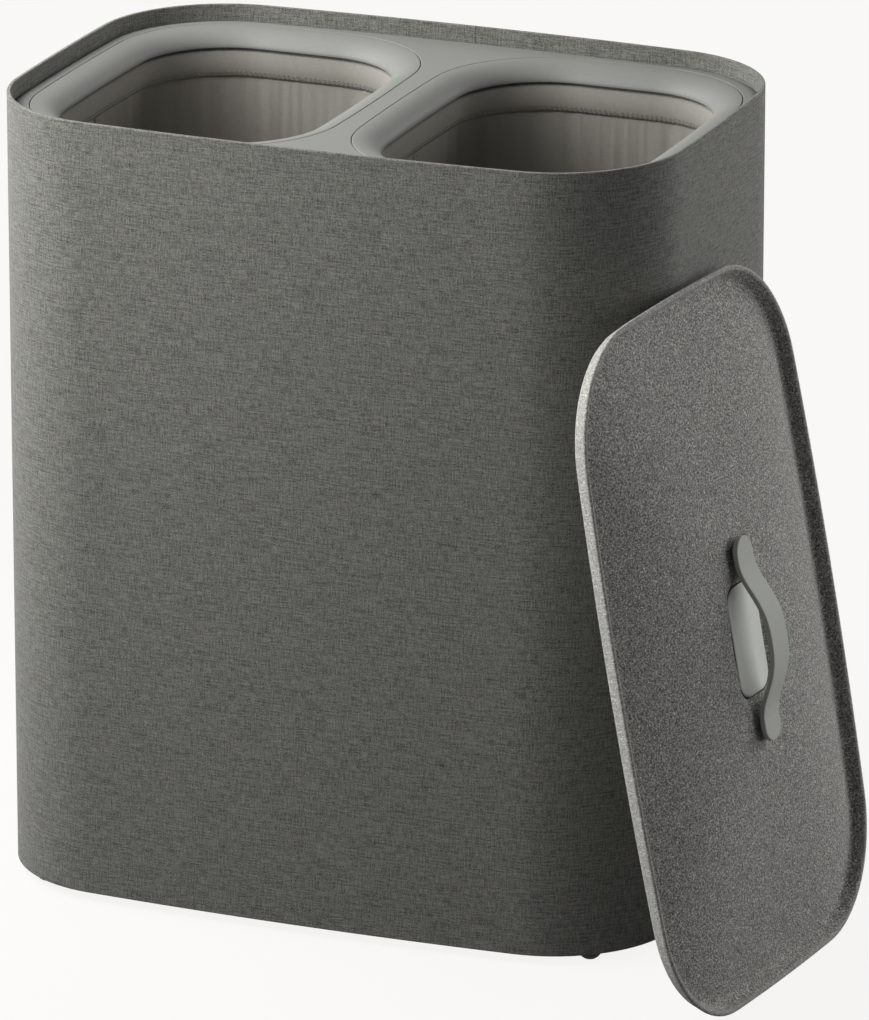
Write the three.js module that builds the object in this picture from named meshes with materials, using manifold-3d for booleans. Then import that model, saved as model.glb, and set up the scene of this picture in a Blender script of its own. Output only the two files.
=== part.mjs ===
// Two-bin laundry hamper: a linen-covered oval sleeve on four stud feet, a recessed deck
// that carries two lift-out bags on moulded rings, and a domed felt lid leaning at its side.
// Millimetres, +Z up, the front looks along -Y.
import * as THREE from 'three';
import { mergeVertices } from 'three/addons/utils/BufferGeometryUtils.js';
import Module from 'manifold-3d';

const wasm = await Module();
wasm.setup();

// Fits and cutting
const fitGap = 0.3;
const cutOverrun = 2;

// Sleeve, a rolled and bowed tube open at both ends
const sleeveFrontBow = 13.3;
const sleeveSideBow = 6.1;
const sleeveCorner = 107;
const sleeveWall = 3.3;
const sleeveEdge = 1;
const sleeveTop = 660;
const sleeveBottom = 8;

// Base tray inside the foot of the sleeve
const trayLift = 1;
const trayFloor = 3;
const trayWall = 2.6;
const trayHeight = 38;
const trayEdge = 5;
const trayRibHeight = 7;
const trayRibWall = 2.4;
const trayRibPitch = 140;
const trayRibCount = 3;
const trayRibMargin = 5;
const trayBossHeight = 6;
const trayBossWall = 4;

// Stud feet plugged into the tray
const footTopRadius = 10;
const footSoleRadius = 5.2;
const footFlank = 1.4;
const footSpigotRadius = 4;
const footBarb = 0.9;
const footBarbHeight = 3;
const footInset = 9;

// Deck that closes the top of the sleeve round the two bags
const deckSideMargin = 16.1;
const deckFrontMargin = 20.8;
const deckRecess = 12.6;
const deckPlate = 3;
const deckShoulderDrop = 4.4;
const deckShoulderWidth = 9;
const deckSkirtHeight = 26;
const deckSkirtWall = 2.4;
const deckLedgeWidth = 7.5;
const deckLedgePlate = 2.6;
const deckLedgeWall = 2.4;
const deckRibHeight = 22;
const deckRibWall = 3;

// Bag rings, two alike, side by side with a bridge of deck between them
const ringWidth = 263.2;
const ringDepth = 350.4;
const ringFrontBow = 1.2;
const ringSideBow = 6;
const ringCorner = 96.5;
const ringBridge = 16.4;
const ringFlange = 3;
const ringWall = 2.5;
const ringEdge = 0.8;
const ringDrop = 12.5;
const ringFaceSide = 22.6;
const ringFaceFront = 26.2;
const mouthFrontBow = 1.2;
const mouthSideBow = 5;
const mouthCorner = 74;
const ringLip = 1.2;
const collarSetback = 8;
const collarWall = 2.4;
const collarOverhang = 2;

// Hoop sewn into the hem of a bag, pressed into the collar below a shadow gap
const hoopWall = 3;
const hoopHeight = 13;
const hemGap = 3;
const hemFlap = 8;

// Fabric bag
const bagFabric = 1.4;
const bagFloorLift = 5;
const bagSwell = 4;
const bagBottomRound = 22;

// Stiff board in the floor of a bag
const boardThickness = 2.4;
const boardMargin = 2;

// Webbing carry handle, two to a bag
const webWidth = 24;
const webThickness = 1.6;
const webSpan = 96;
const webHang = 104;
const webInnerRadius = 16;

// Lid, a pressed felt tray with a domed floor
const lidClearance = 2.4;
const lidRimHeight = 13.7;
const lidFlare = 7.9;
const lidFelt = 3.6;
const lidFold = 2.6;
const lidRise = 29;
const lidLeanDegrees = 10.7;
const lidYawDegrees = 5.5;
const lidAlongSide = -129.5;

// Finger plate bonded under the crown of the lid, with a pad that shows where the felt is pressed thin
const padLength = 90;
const padWidth = 50;
const padCorner = 15;
const padDish = 0.9;
const padBelowFelt = 3;
const padSlit = 0.9;
const pressedEdge = 6;
const pressedFelt = 0.8;
const plateMargin = 17;
const plateEndMargin = 52;
const plateThickness = 2.6;

// Strap handle over the pad, its feet raised on bosses
const handleLength = 168;
const handleWidth = 28;
const handleThickness = 4.4;
const handleFoot = 19;
const handleRise = 18.2;
const handleStandoff = 2.4;
const handleCurve = 1.37;
const bossRadius = 8;

// Screws up through plate and felt into the handle
const screwRadius = 1.7;
const screwHeadRadius = 3.8;
const screwHead = 2;
const screwBite = 3.2;
const screwClearance = 0.35;

// Facets: half a front side, a corner and half a side of an outline, then turned pieces
const sleeveSteps = { front: 4, corner: 7, side: 3 };
const ringSteps = { front: 2, corner: 5, side: 2 };
const turnSteps = 12;
const curveSteps = 4;

// Shares along the pieces that swell or dome
const domeShares = [0.2, 0.46, 0.74, 1];
const domePower = 2.2;
const ringShares = [0.1, 0.45, 0.75, 0.92, 1];
const ringRollShare = 0.6;
const ringUndersideShare = 0.88;
const bagHeightShares = [0.25, 0.7, 0.94];
const bagSwellShares = [0.9, 1, 0.6];
const bagCornerShares = [0, 0.4, 0.75];
const padHollowShare = 0.84;
const screwDomeShare = 0.7;

// Worked out from the sizes above
const sleeveWidth = 2 * (ringWidth + deckSideMargin) + ringBridge;
const sleeveDepth = ringDepth + 2 * deckFrontMargin;
const mouthWidth = ringWidth - 2 * ringFaceSide;
const mouthDepth = ringDepth - 2 * ringFaceFront;
const collarShare = 1 - 2 * collarSetback / (ringFaceSide + ringFaceFront);
const deckTop = sleeveTop - deckRecess;
const mouthZ = deckTop - ringDrop;
const lipBottom = mouthZ - ringLip;
const hemTop = lipBottom - hemGap;
const hoopTop = hemTop - bagFabric - fitGap;
const hoopBottom = hoopTop - hoopHeight;
const collarBottom = hoopBottom - collarOverhang;
const trayBottom = sleeveBottom + trayLift;
const trayTop = trayBottom + trayFloor;
const bagBottom = trayTop + trayRibHeight + bagFloorLift;
const ringOffset = (ringBridge + ringWidth) / 2;

// Outlines: four bowed sides joined by four tangent corner arcs
function bowRadius(chord, bow) {
  return (chord * chord / 4 + bow * bow) / (2 * bow);
}

function bowedShape(width, depth, frontBow, sideBow, corner, steps) {
  return {
    steps,
    halfWidth: width / 2,
    halfDepth: depth / 2,
    frontRadius: bowRadius(width, frontBow),
    sideRadius: bowRadius(depth, sideBow),
    corner,
  };
}

function inset(shape, distance) {
  return {
    steps: shape.steps,
    halfWidth: shape.halfWidth - distance,
    halfDepth: shape.halfDepth - distance,
    frontRadius: shape.frontRadius - distance,
    sideRadius: shape.sideRadius - distance,
    corner: shape.corner - distance,
  };
}

function arcPoints(centre, radius, from, to, steps) {
  return Array.from({ length: steps }, (_, i) => {
    const angle = from + (to - from) * i / steps;
    return new THREE.Vector2(
      centre.x + radius * Math.cos(angle),
      centre.y + radius * Math.sin(angle),
    );
  });
}

// The corner arc's centre lies where two circles about the side arcs' centres cross
function shapePoints(shape, offset = 0) {
  const frontCentre = new THREE.Vector2(0, shape.halfDepth - shape.frontRadius);
  const sideCentre = new THREE.Vector2(shape.halfWidth - shape.sideRadius, 0);
  const frontReach = shape.frontRadius - shape.corner;
  const sideReach = shape.sideRadius - shape.corner;
  const apart = sideCentre.clone().sub(frontCentre);
  const distance = apart.length();
  const along = (frontReach ** 2 - sideReach ** 2 + distance ** 2) / (2 * distance);
  const across = Math.sqrt(frontReach ** 2 - along ** 2);
  const unit = apart.clone().normalize();
  const corners = [-1, 1].map((side) => new THREE.Vector2(
    frontCentre.x + unit.x * along - side * unit.y * across,
    frontCentre.y + unit.y * along + side * unit.x * across,
  ));
  corners.sort((a, b) => (b.x + b.y) - (a.x + a.y));
  const corner = corners[0];
  const frontAngle = corner.clone().sub(frontCentre).angle();
  const sideAngle = corner.clone().sub(sideCentre).angle();
  const quarter = [
    ...arcPoints(sideCentre, shape.sideRadius, 0, sideAngle, shape.steps.side),
    ...arcPoints(corner, shape.corner, sideAngle, frontAngle, shape.steps.corner),
    ...arcPoints(frontCentre, shape.frontRadius, frontAngle, Math.PI / 2, shape.steps.front),
  ];
  const top = new THREE.Vector2(0, shape.halfDepth);
  const upper = [
    ...quarter,
    top,
    ...quarter.slice(1).reverse().map((p) => new THREE.Vector2(-p.x, p.y)),
  ];
  const left = new THREE.Vector2(-shape.halfWidth, 0);
  const lower = upper.slice(1).reverse().map((p) => new THREE.Vector2(p.x, -p.y));
  return [...upper, left, ...lower].map((p) => new THREE.Vector2(p.x + offset, p.y));
}

function level(points, z) {
  return points.map((p) => new THREE.Vector3(p.x, p.y, z));
}

function scaled(points, share) {
  return points.map((p) => p.clone().multiplyScalar(share));
}

function between(pointsA, pointsB, share) {
  return pointsA.map((p, i) => p.clone().lerp(pointsB[i], share));
}

// Lofts: rings of points joined in order, closed on themselves or capped at both ends
function signedVolume(positions, indices) {
  const [a, b, c] = [new THREE.Vector3(), new THREE.Vector3(), new THREE.Vector3()];
  let volume = 0;
  for (let i = 0; i < indices.length; i += 3) {
    a.fromArray(positions, indices[i] * 3);
    b.fromArray(positions, indices[i + 1] * 3);
    c.fromArray(positions, indices[i + 2] * 3);
    volume += a.dot(b.cross(c)) / 6;
  }
  return volume;
}

function loft(rings, closedSection) {
  const count = rings[0].length;
  const positions = rings.flat().flatMap((p) => [p.x, p.y, p.z]);
  const indices = [];
  const bands = closedSection ? rings.length : rings.length - 1;
  for (let k = 0; k < bands; k += 1) {
    const here = k * count;
    const next = ((k + 1) % rings.length) * count;
    for (let i = 0; i < count; i += 1) {
      const j = (i + 1) % count;
      indices.push(here + i, here + j, next + j, here + i, next + j, next + i);
    }
  }
  if (!closedSection) {
    [[0, false], [rings.length - 1, true]].forEach(([k, last]) => {
      const middle = new THREE.Vector3();
      rings[k].forEach((p) => middle.add(p));
      middle.divideScalar(count);
      const hub = positions.length / 3;
      positions.push(middle.x, middle.y, middle.z);
      for (let i = 0; i < count; i += 1) {
        const [a, b] = [k * count + i, k * count + (i + 1) % count];
        indices.push(hub, ...(last ? [a, b] : [b, a]));
      }
    });
  }
  if (signedVolume(positions, indices) < 0) {
    indices.reverse();
  }
  const geometry = new THREE.BufferGeometry();
  geometry.setAttribute('position', new THREE.Float32BufferAttribute(positions, 3));
  geometry.setIndex(indices);
  return geometry;
}

// Solids
function solid(geometry) {
  const bare = geometry.clone();
  bare.deleteAttribute('normal');
  bare.deleteAttribute('uv');
  const merged = mergeVertices(bare);
  return new wasm.Manifold(new wasm.Mesh({
    numProp: 3,
    vertProperties: new Float32Array(merged.attributes.position.array),
    triVerts: new Uint32Array(merged.index.array),
  }));
}

function body(manifold) {
  const mesh = manifold.getMesh();
  const geometry = new THREE.BufferGeometry();
  geometry.setAttribute('position', new THREE.BufferAttribute(mesh.vertProperties, 3));
  geometry.setIndex(new THREE.BufferAttribute(mesh.triVerts, 1));
  geometry.computeVertexNormals();
  return geometry;
}

function prism(points, bottom, top) {
  return solid(loft([level(points, bottom), level(points, top)], false));
}

function shapePrism(shape, offset, bottom, top) {
  return prism(shapePoints(shape, offset), bottom, top);
}

function cylinder(radius, bottom, top, x = 0, y = 0) {
  const geometry = new THREE.CylinderGeometry(radius, radius, top - bottom, turnSteps);
  geometry.rotateX(Math.PI / 2);
  geometry.translate(x, y, (top + bottom) / 2);
  return solid(geometry);
}

function block(sizeX, sizeY, bottom, top, x = 0, y = 0) {
  const geometry = new THREE.BoxGeometry(sizeX, sizeY, top - bottom);
  geometry.translate(x, y, (top + bottom) / 2);
  return solid(geometry);
}

// A hoop round a shape: a bar with eased edges between two insets and two heights
function hoop(shape, offset, outer, inner, bottom, top, edge) {
  const eased = [
    [outer, bottom + edge], [outer, top - edge],
    [outer + edge, top], [inner - edge, top],
    [inner, top - edge], [inner, bottom + edge],
    [inner - edge, bottom], [outer + edge, bottom],
  ];
  const square = [[outer, bottom], [outer, top], [inner, top], [inner, bottom]];
  const section = edge > 0 ? eased : square;
  const rings = section.map(([way, z]) => level(shapePoints(inset(shape, way), offset), z));
  return solid(loft(rings, true));
}

// Finishes
function finish(colour, roughness, metalness) {
  return new THREE.MeshStandardMaterial({ color: colour, roughness, metalness });
}

const finishes = {
  linen: finish(0x62625d, 0.85, 0),
  deck: finish(0xa9aba6, 0.5, 0),
  tray: finish(0x3a3a38, 0.6, 0),
  rubber: finish(0x1c1c1b, 0.8, 0),
  bag: finish(0x85827b, 0.9, 0),
  board: finish(0x2b2b2a, 0.8, 0),
  webbing: finish(0x242424, 0.85, 0),
  felt: finish(0x6b6b66, 0.95, 0),
  handle: finish(0x8d8f8a, 0.5, 0),
  pad: finish(0x989a95, 0.45, 0),
  steel: finish(0x8c8c8c, 0.35, 1),
};

const hamper = new THREE.Group();

function addNode(parent, name, manifold, material) {
  const mesh = new THREE.Mesh(body(manifold), material);
  mesh.name = name;
  parent.add(mesh);
  return mesh;
}

// Sleeve
const sleeveShape = bowedShape(
  sleeveWidth, sleeveDepth, sleeveFrontBow, sleeveSideBow, sleeveCorner, sleeveSteps,
);
const innerShape = inset(sleeveShape, sleeveWall + fitGap);

function makeSleeve() {
  return hoop(sleeveShape, 0, 0, sleeveWall, sleeveBottom, sleeveTop, sleeveEdge);
}

// Places of the four feet, on the diagonals of the corners
function footPlaces() {
  const corner = inset(innerShape, trayWall + footInset);
  const { side, corner: turn } = sleeveSteps;
  const middle = shapePoints(corner)[side + Math.round(turn / 2)];
  return [
    ['foot_front_left', -middle.x, -middle.y],
    ['foot_front_right', middle.x, -middle.y],
    ['foot_back_left', -middle.x, middle.y],
    ['foot_back_right', middle.x, middle.y],
  ];
}

// Base tray: a shallow pan with stiffening ribs and a boss for each foot
function makeTray() {
  const top = trayBottom + trayHeight;
  const section = [
    [trayEdge, trayBottom], [0, trayBottom + trayEdge], [0, top],
    [trayWall, top], [trayWall, trayTop + trayEdge], [trayEdge + trayWall, trayTop],
  ];
  const rings = section.map(([way, z]) => level(shapePoints(inset(innerShape, way)), z));
  let tray = solid(loft(rings, false));
  const ribTop = trayTop + trayRibHeight;
  const ribReach = inset(innerShape, trayWall + trayRibMargin);
  let ribs = block(2 * ribReach.halfWidth, trayRibWall, trayTop - trayFloor / 2, ribTop);
  for (let i = 0; i < trayRibCount; i += 1) {
    const x = (i - (trayRibCount - 1) / 2) * trayRibPitch;
    const rib = block(trayRibWall, 2 * ribReach.halfDepth, trayTop - trayFloor / 2, ribTop, x);
    ribs = ribs.add(rib);
  }
  ribs = ribs.intersect(shapePrism(ribReach, 0, trayBottom, ribTop + cutOverrun));
  tray = tray.add(ribs);
  footPlaces().forEach(([, x, y]) => {
    const bossRadius = footSpigotRadius + footBarb + trayBossWall;
    tray = tray.add(cylinder(bossRadius, trayTop - trayFloor / 2, trayTop + trayBossHeight, x, y));
  });
  footPlaces().forEach(([, x, y]) => {
    const spigotHole = footSpigotRadius + fitGap;
    const barbHole = footSpigotRadius + footBarb + fitGap;
    const bossTop = trayTop + trayBossHeight;
    tray = tray.subtract(cylinder(spigotHole, trayBottom - cutOverrun, bossTop + cutOverrun, x, y));
    tray = tray.subtract(cylinder(barbHole, trayTop, bossTop + cutOverrun, x, y));
  });
  return tray;
}

// Foot: a tapered stud whose barbed spigot snaps through the tray floor
function makeFoot(x, y) {
  const shoulder = trayBottom - fitGap;
  const catchZ = trayTop + fitGap;
  const profile = [
    [0, 0], [footSoleRadius, 0],
    [footTopRadius, shoulder - footFlank], [footTopRadius, shoulder],
    [footSpigotRadius, shoulder], [footSpigotRadius, catchZ],
    [footSpigotRadius + footBarb, catchZ], [footSpigotRadius, catchZ + footBarbHeight],
    [0, catchZ + footBarbHeight],
  ].map(([r, z]) => new THREE.Vector2(r, z));
  const geometry = new THREE.LatheGeometry(profile, turnSteps);
  geometry.rotateX(Math.PI / 2);
  geometry.translate(x, y, 0);
  return solid(geometry);
}

// Deck and rings
const seatShape = bowedShape(
  ringWidth, ringDepth, ringFrontBow, ringSideBow, ringCorner, ringSteps,
);
const mouthShape = bowedShape(
  mouthWidth, mouthDepth, mouthFrontBow, mouthSideBow, mouthCorner, ringSteps,
);

// The crowned plate falls in a smooth shoulder to the skirt inside the sleeve
function makeDeck() {
  const shoulder = Array.from({ length: curveSteps + 1 }, (_, i) => {
    const turn = Math.PI / 2 * i / curveSteps;
    return [
      deckShoulderWidth * (1 - Math.sin(turn)),
      deckTop - deckShoulderDrop * (1 - Math.cos(turn)),
    ];
  });
  const wallTop = deckTop - deckShoulderDrop;
  const section = [
    ...shoulder,
    [0, wallTop - deckSkirtHeight],
    [deckSkirtWall, wallTop - deckSkirtHeight],
    [deckSkirtWall, wallTop - deckPlate],
    [deckShoulderWidth, deckTop - deckPlate],
  ];
  const rings = section.map(([way, z]) => level(shapePoints(inset(innerShape, way)), z));
  let deck = solid(loft(rings, false));
  const seatZ = deckTop - ringFlange - fitGap;
  const ledgeBottom = seatZ - deckLedgePlate;
  const ribDepth = 2 * inset(innerShape, deckSkirtWall / 2).halfDepth;
  const insidePlate = deckTop - deckPlate / 2;
  const ribBottom = deckTop - deckPlate - deckRibHeight;
  deck = deck.add(block(deckRibWall, ribDepth, ribBottom, insidePlate));
  [-ringOffset, ringOffset].forEach((x) => {
    deck = deck.add(shapePrism(inset(seatShape, -deckLedgeWall), x, ledgeBottom, insidePlate));
  });
  [-ringOffset, ringOffset].forEach((x) => {
    deck = deck.subtract(shapePrism(seatShape, x, seatZ, deckTop + cutOverrun));
    const through = inset(seatShape, deckLedgeWidth);
    deck = deck.subtract(shapePrism(through, x, ledgeBottom - cutOverrun, deckTop + cutOverrun));
  });
  return deck;
}

// Bag ring: a flange in the deck's seat, a face that rolls down ever more steeply to a thin
// lip round the mouth, and a collar set back behind the lip
function ringFaceZ(share) {
  return deckTop - ringDrop * (1 - (1 - share ** 2) ** ringRollShare);
}

function makeRing(x) {
  const rim = shapePoints(inset(seatShape, fitGap), x);
  const mouth = shapePoints(mouthShape, x);
  const under = between(rim, mouth, ringUndersideShare);
  const collarIn = shapePoints(inset(mouthShape, -collarSetback), x);
  const collarOut = shapePoints(inset(mouthShape, -(collarSetback + collarWall)), x);
  const seat = shapePoints(inset(seatShape, deckLedgeWidth + fitGap), x);
  const collarTop = ringFaceZ(collarShare) - ringWall;
  const rings = [
    level(rim, deckTop - ringFlange),
    level(rim, deckTop - ringEdge),
    ...ringShares.map((share) => level(between(rim, mouth, share), ringFaceZ(share))),
    level(mouth, lipBottom),
    level(under, ringFaceZ(ringUndersideShare) - ringWall),
    level(collarIn, collarTop),
    level(collarIn, collarBottom),
    level(collarOut, collarBottom),
    level(collarOut, collarTop),
    level(seat, deckTop - ringFlange - ringWall / 2),
    level(seat, deckTop - ringFlange),
  ];
  return solid(loft(rings, true));
}

// Reaches outward from the mouth: the bag's wall, the hoop and the hem's inner flap
const bagReach = collarSetback - fitGap;
const wallReach = bagReach - bagFabric;
const hoopReach = wallReach - fitGap;
const flapReach = hoopReach - hoopWall - fitGap;
const hemReach = flapReach - bagFabric;

function makeHoop(x) {
  return hoop(mouthShape, x, -hoopReach, hoopWall - hoopReach, hoopBottom, hoopTop, 0);
}

// Bag: a fabric shell with a rounded floor, a slight swell and a hem folded over the hoop
function bagWall(standOff) {
  const neck = bagReach + standOff;
  const low = bagBottom + bagBottomRound - standOff;
  const top = collarBottom - fitGap;
  const wall = bagHeightShares.map((share, i) => [
    neck + bagSwell * bagSwellShares[i],
    low + (top - low) * share,
  ]);
  return [...wall, [neck, top]];
}

function bagCorner(standOff) {
  const neck = bagReach + standOff;
  const base = bagBottom - standOff;
  return bagCornerShares.map((share) => {
    const turn = Math.PI / 2 * share;
    return [neck - bagBottomRound * (1 - Math.sin(turn)), base + bagBottomRound * (1 - Math.cos(turn))];
  });
}

function bagRings(levels, x) {
  return levels.map(([reach, z]) => level(shapePoints(inset(mouthShape, -reach), x), z));
}

function makeBag(x) {
  const eased = hemTop - bagFabric;
  const flapEnd = hoopBottom - hemFlap;
  const hem = [
    [bagReach, eased], [wallReach, hemTop], [flapReach, hemTop], [hemReach, eased],
    [hemReach, hoopBottom], [wallReach - fitGap - bagFabric, flapEnd],
    [wallReach - fitGap, flapEnd], [flapReach, hoopBottom],
    [flapReach, hoopTop + fitGap], [wallReach, hoopTop + fitGap],
  ];
  const outer = [...bagCorner(0), ...bagWall(0)];
  const inner = [...bagCorner(-bagFabric), ...bagWall(-bagFabric)];
  return solid(loft(bagRings([...outer, ...hem, ...inner.reverse()], x), false));
}

// Board that keeps the bag's floor flat
function makeBoard(x) {
  const bottom = bagBottom + bagFabric + fitGap;
  const floorInset = bagBottomRound - wallReach + boardMargin;
  return shapePrism(inset(mouthShape, floorInset), x, bottom, bottom + boardThickness);
}

// Webbing handle: a flat loop of strap that hangs against the bag's front or back
function makeWebbing(x, side) {
  const inner = bagWall(fitGap);
  const outer = bagWall(fitGap + webThickness);
  const layer = solid(loft(bagRings([...outer, ...inner.reverse()], x), true));
  const top = collarBottom - fitGap;
  const half = webSpan / 2;
  const round = webInnerRadius + webWidth;
  const low = top - webHang;
  const outline = new THREE.Shape();
  outline.moveTo(-half, top);
  outline.lineTo(-half, low + round);
  outline.absarc(-half + round, low + round, round, Math.PI, Math.PI * 1.5, false);
  outline.absarc(half - round, low + round, round, Math.PI * 1.5, Math.PI * 2, false);
  outline.lineTo(half, top);
  outline.lineTo(half - webWidth, top);
  outline.lineTo(half - webWidth, low + round);
  outline.absarc(half - round, low + round, webInnerRadius, 0, -Math.PI / 2, true);
  outline.absarc(-half + round, low + round, webInnerRadius, -Math.PI / 2, -Math.PI, true);
  outline.lineTo(-half + webWidth, top);
  outline.closePath();
  const geometry = new THREE.ExtrudeGeometry(outline, {
    depth: mouthDepth, bevelEnabled: false, curveSegments: curveSteps,
  });
  geometry.rotateX(Math.PI / 2);
  geometry.translate(x, side > 0 ? mouthDepth : 0, 0);
  return layer.intersect(solid(geometry));
}

// Lid, in its own frame: x along its length, z out of its upper face
const lidShape = inset(sleeveShape, sleeveWall + lidClearance);
const creaseShape = inset(lidShape, lidFlare + lidFelt);

function domeZ(share) {
  return lidRise * (1 - share ** domePower);
}

function domeRings(lift) {
  const crease = shapePoints(creaseShape);
  return domeShares.map((share) => level(scaled(crease, share), domeZ(share) + lift));
}

// A slice of the dome between two heights measured from the felt's underside
function domeSlice(points, from, to) {
  const slab = solid(loft([...domeRings(to), ...domeRings(from).reverse()], false));
  return slab.intersect(prism(points, -lidRimHeight, lidRise + to + cutOverrun));
}

function stadium(length, width) {
  const radius = width / 2;
  const reach = length / 2 - radius;
  return [
    ...arcPoints(new THREE.Vector2(reach, 0), radius, -Math.PI / 2, Math.PI / 2, turnSteps / 2),
    ...arcPoints(new THREE.Vector2(-reach, 0), radius, Math.PI / 2, Math.PI * 1.5, turnSteps / 2),
  ];
}

function roundedBox(length, width, radius) {
  const [x, y] = [length / 2 - radius, width / 2 - radius];
  return [[x, y], [-x, y], [-x, -y], [x, -y]].flatMap(([cx, cy], i) => {
    const start = Math.PI / 2 * i;
    return arcPoints(new THREE.Vector2(cx, cy), radius, start, start + Math.PI / 2, curveSteps);
  });
}

const screwPlace = (handleLength - handleWidth) / 2;

// Two upright cylinders where the screws go
function rounds(radius, bottom, top) {
  return cylinder(radius, bottom, top, -screwPlace).add(cylinder(radius, bottom, top, screwPlace));
}

// Funnel that thins the felt towards the pad's opening
function pressing() {
  const slope = (lidFelt - pressedFelt) / pressedEdge;
  const low = [padSlit, lidRise + pressedFelt];
  const high = [padSlit + pressedEdge + cutOverrun / slope, lidRise + lidFelt + cutOverrun];
  const rings = [low, high].map(([way, z]) => {
    const outline = roundedBox(padLength + 2 * way, padWidth + 2 * way, padCorner + way);
    return level(outline, z);
  });
  return solid(loft(rings, false));
}

function makeLidFelt() {
  const fold = lidFold / lidRimHeight;
  const inner = lidFlare + lidFelt;
  const rim = [
    [inner - lidFold, lidFelt + lidFold / 2],
    [inner - lidFold - lidFlare * fold, lidFelt + 2 * lidFold],
    [lidFelt, lidRimHeight],
    [0, lidRimHeight],
    [lidFlare - lidFold / 2, lidFold],
    [lidFlare + lidFold / 2, 0],
  ].map(([way, z]) => level(shapePoints(inset(lidShape, way)), z));
  const rings = [...domeRings(lidFelt), ...rim, ...domeRings(0).reverse()];
  let felt = solid(loft(rings, false));
  const opening = roundedBox(padLength + 2 * padSlit, padWidth + 2 * padSlit, padCorner + padSlit);
  felt = felt.subtract(prism(opening, 0, lidRise + lidFelt + cutOverrun));
  felt = felt.subtract(pressing());
  return felt.subtract(rounds(screwRadius + screwClearance, 0, lidRise + lidFelt + cutOverrun));
}

// Finger plate: follows the underside of the dome, its pad rises into the felt's opening
function makeFingerPlate() {
  const length = padLength + 2 * plateEndMargin;
  const width = padWidth + 2 * plateMargin;
  const outline = roundedBox(length, width, padCorner + plateMargin);
  let plate = domeSlice(outline, -fitGap - plateThickness, -fitGap);
  const padTop = lidRise + lidFelt - padBelowFelt;
  const pad = roundedBox(padLength, padWidth, padCorner);
  const padBottom = lidRise - fitGap - plateThickness / 2;
  plate = plate.add(prism(pad, padBottom, padTop));
  const hollow = new THREE.SphereGeometry(1, turnSteps, turnSteps / 2);
  hollow.scale(padHollowShare * padLength / 2, padHollowShare * padWidth / 2, padDish);
  hollow.translate(0, 0, padTop);
  plate = plate.subtract(solid(hollow));
  return plate.subtract(rounds(screwRadius + screwClearance, 0, lidRise + cutOverrun));
}

// Height of the handle's underside above the felt's underside, along its length
function handleArch(x) {
  const flat = handleLength / 2 - handleFoot;
  const share = Math.min(1, Math.abs(x) / flat) ** handleCurve;
  return lidRise + lidFelt + handleStandoff + handleRise * (1 + Math.cos(Math.PI * share)) / 2;
}

function makeHandle() {
  const steps = 4 * curveSteps;
  const flat = handleLength / 2 - handleFoot;
  const stations = [
    -handleLength / 2,
    ...Array.from({ length: steps + 1 }, (_, i) => flat * (2 * i / steps - 1)),
    handleLength / 2,
  ];
  const under = stations.map((x) => new THREE.Vector2(x, handleArch(x)));
  const over = stations.map((x) => new THREE.Vector2(x, handleArch(x) + handleThickness)).reverse();
  const profile = new THREE.Shape([...under, ...over]);
  const geometry = new THREE.ExtrudeGeometry(profile, { depth: handleWidth, bevelEnabled: false });
  geometry.rotateX(Math.PI / 2);
  geometry.translate(0, handleWidth / 2, 0);
  const footBottom = handleArch(handleLength / 2);
  const plan = prism(stadium(handleLength, handleWidth), 0, footBottom + handleRise + 2 * handleThickness);
  let handle = solid(geometry).intersect(plan).add(rounds(bossRadius, lidRise, footBottom + handleThickness / 2));
  const wide = roundedBox(handleLength + handleFoot, handleWidth + handleFoot, padCorner);
  handle = handle.subtract(domeSlice(wide, -lidFelt, lidFelt + fitGap));
  const holeTop = lidRise + lidFelt + handleStandoff + screwBite + screwClearance;
  return handle.subtract(rounds(screwRadius + screwClearance, 0, holeTop));
}

// Screw: pan head under the plate, shank up into the handle's foot
function makeScrew(x) {
  const share = Math.abs(x) / creaseShape.halfWidth;
  const slope = lidRise / creaseShape.halfWidth;
  const seat = domeZ(share) - plateThickness - 2 * fitGap - screwHeadRadius * slope;
  const tip = lidRise + lidFelt + handleStandoff + screwBite;
  const profile = [
    [0, seat - screwHead],
    [screwHeadRadius * screwDomeShare, seat - screwHead],
    [screwHeadRadius, seat - screwHead / 2],
    [screwHeadRadius, seat],
    [screwRadius, seat],
    [screwRadius, tip],
    [0, tip],
  ].map(([r, z]) => new THREE.Vector2(r, z));
  const geometry = new THREE.LatheGeometry(profile, turnSteps / 2);
  geometry.rotateX(Math.PI / 2);
  geometry.translate(x, 0, 0);
  return solid(geometry);
}

// Assembly
addNode(hamper, 'outer_sleeve', makeSleeve(), finishes.linen);
addNode(hamper, 'base_tray', makeTray(), finishes.tray);
footPlaces().forEach(([name, x, y]) => addNode(hamper, name, makeFoot(x, y), finishes.rubber));
addNode(hamper, 'top_deck', makeDeck(), finishes.deck);

[['left', -ringOffset], ['right', ringOffset]].forEach(([side, x]) => {
  addNode(hamper, `${side}_bag_ring`, makeRing(x), finishes.deck);
  addNode(hamper, `${side}_bag_hoop`, makeHoop(x), finishes.tray);
  addNode(hamper, `${side}_bag`, makeBag(x), finishes.bag);
  addNode(hamper, `${side}_bag_board`, makeBoard(x), finishes.board);
  addNode(hamper, `${side}_bag_handle_front`, makeWebbing(x, -1), finishes.webbing);
  addNode(hamper, `${side}_bag_handle_back`, makeWebbing(x, 1), finishes.webbing);
});

const lid = new THREE.Group();
addNode(lid, 'lid_felt', makeLidFelt(), finishes.felt);
addNode(lid, 'lid_finger_plate', makeFingerPlate(), finishes.pad);
addNode(lid, 'lid_handle', makeHandle(), finishes.handle);
addNode(lid, 'lid_screw_upper', makeScrew(screwPlace), finishes.steel);
addNode(lid, 'lid_screw_lower', makeScrew(-screwPlace), finishes.steel);

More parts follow.
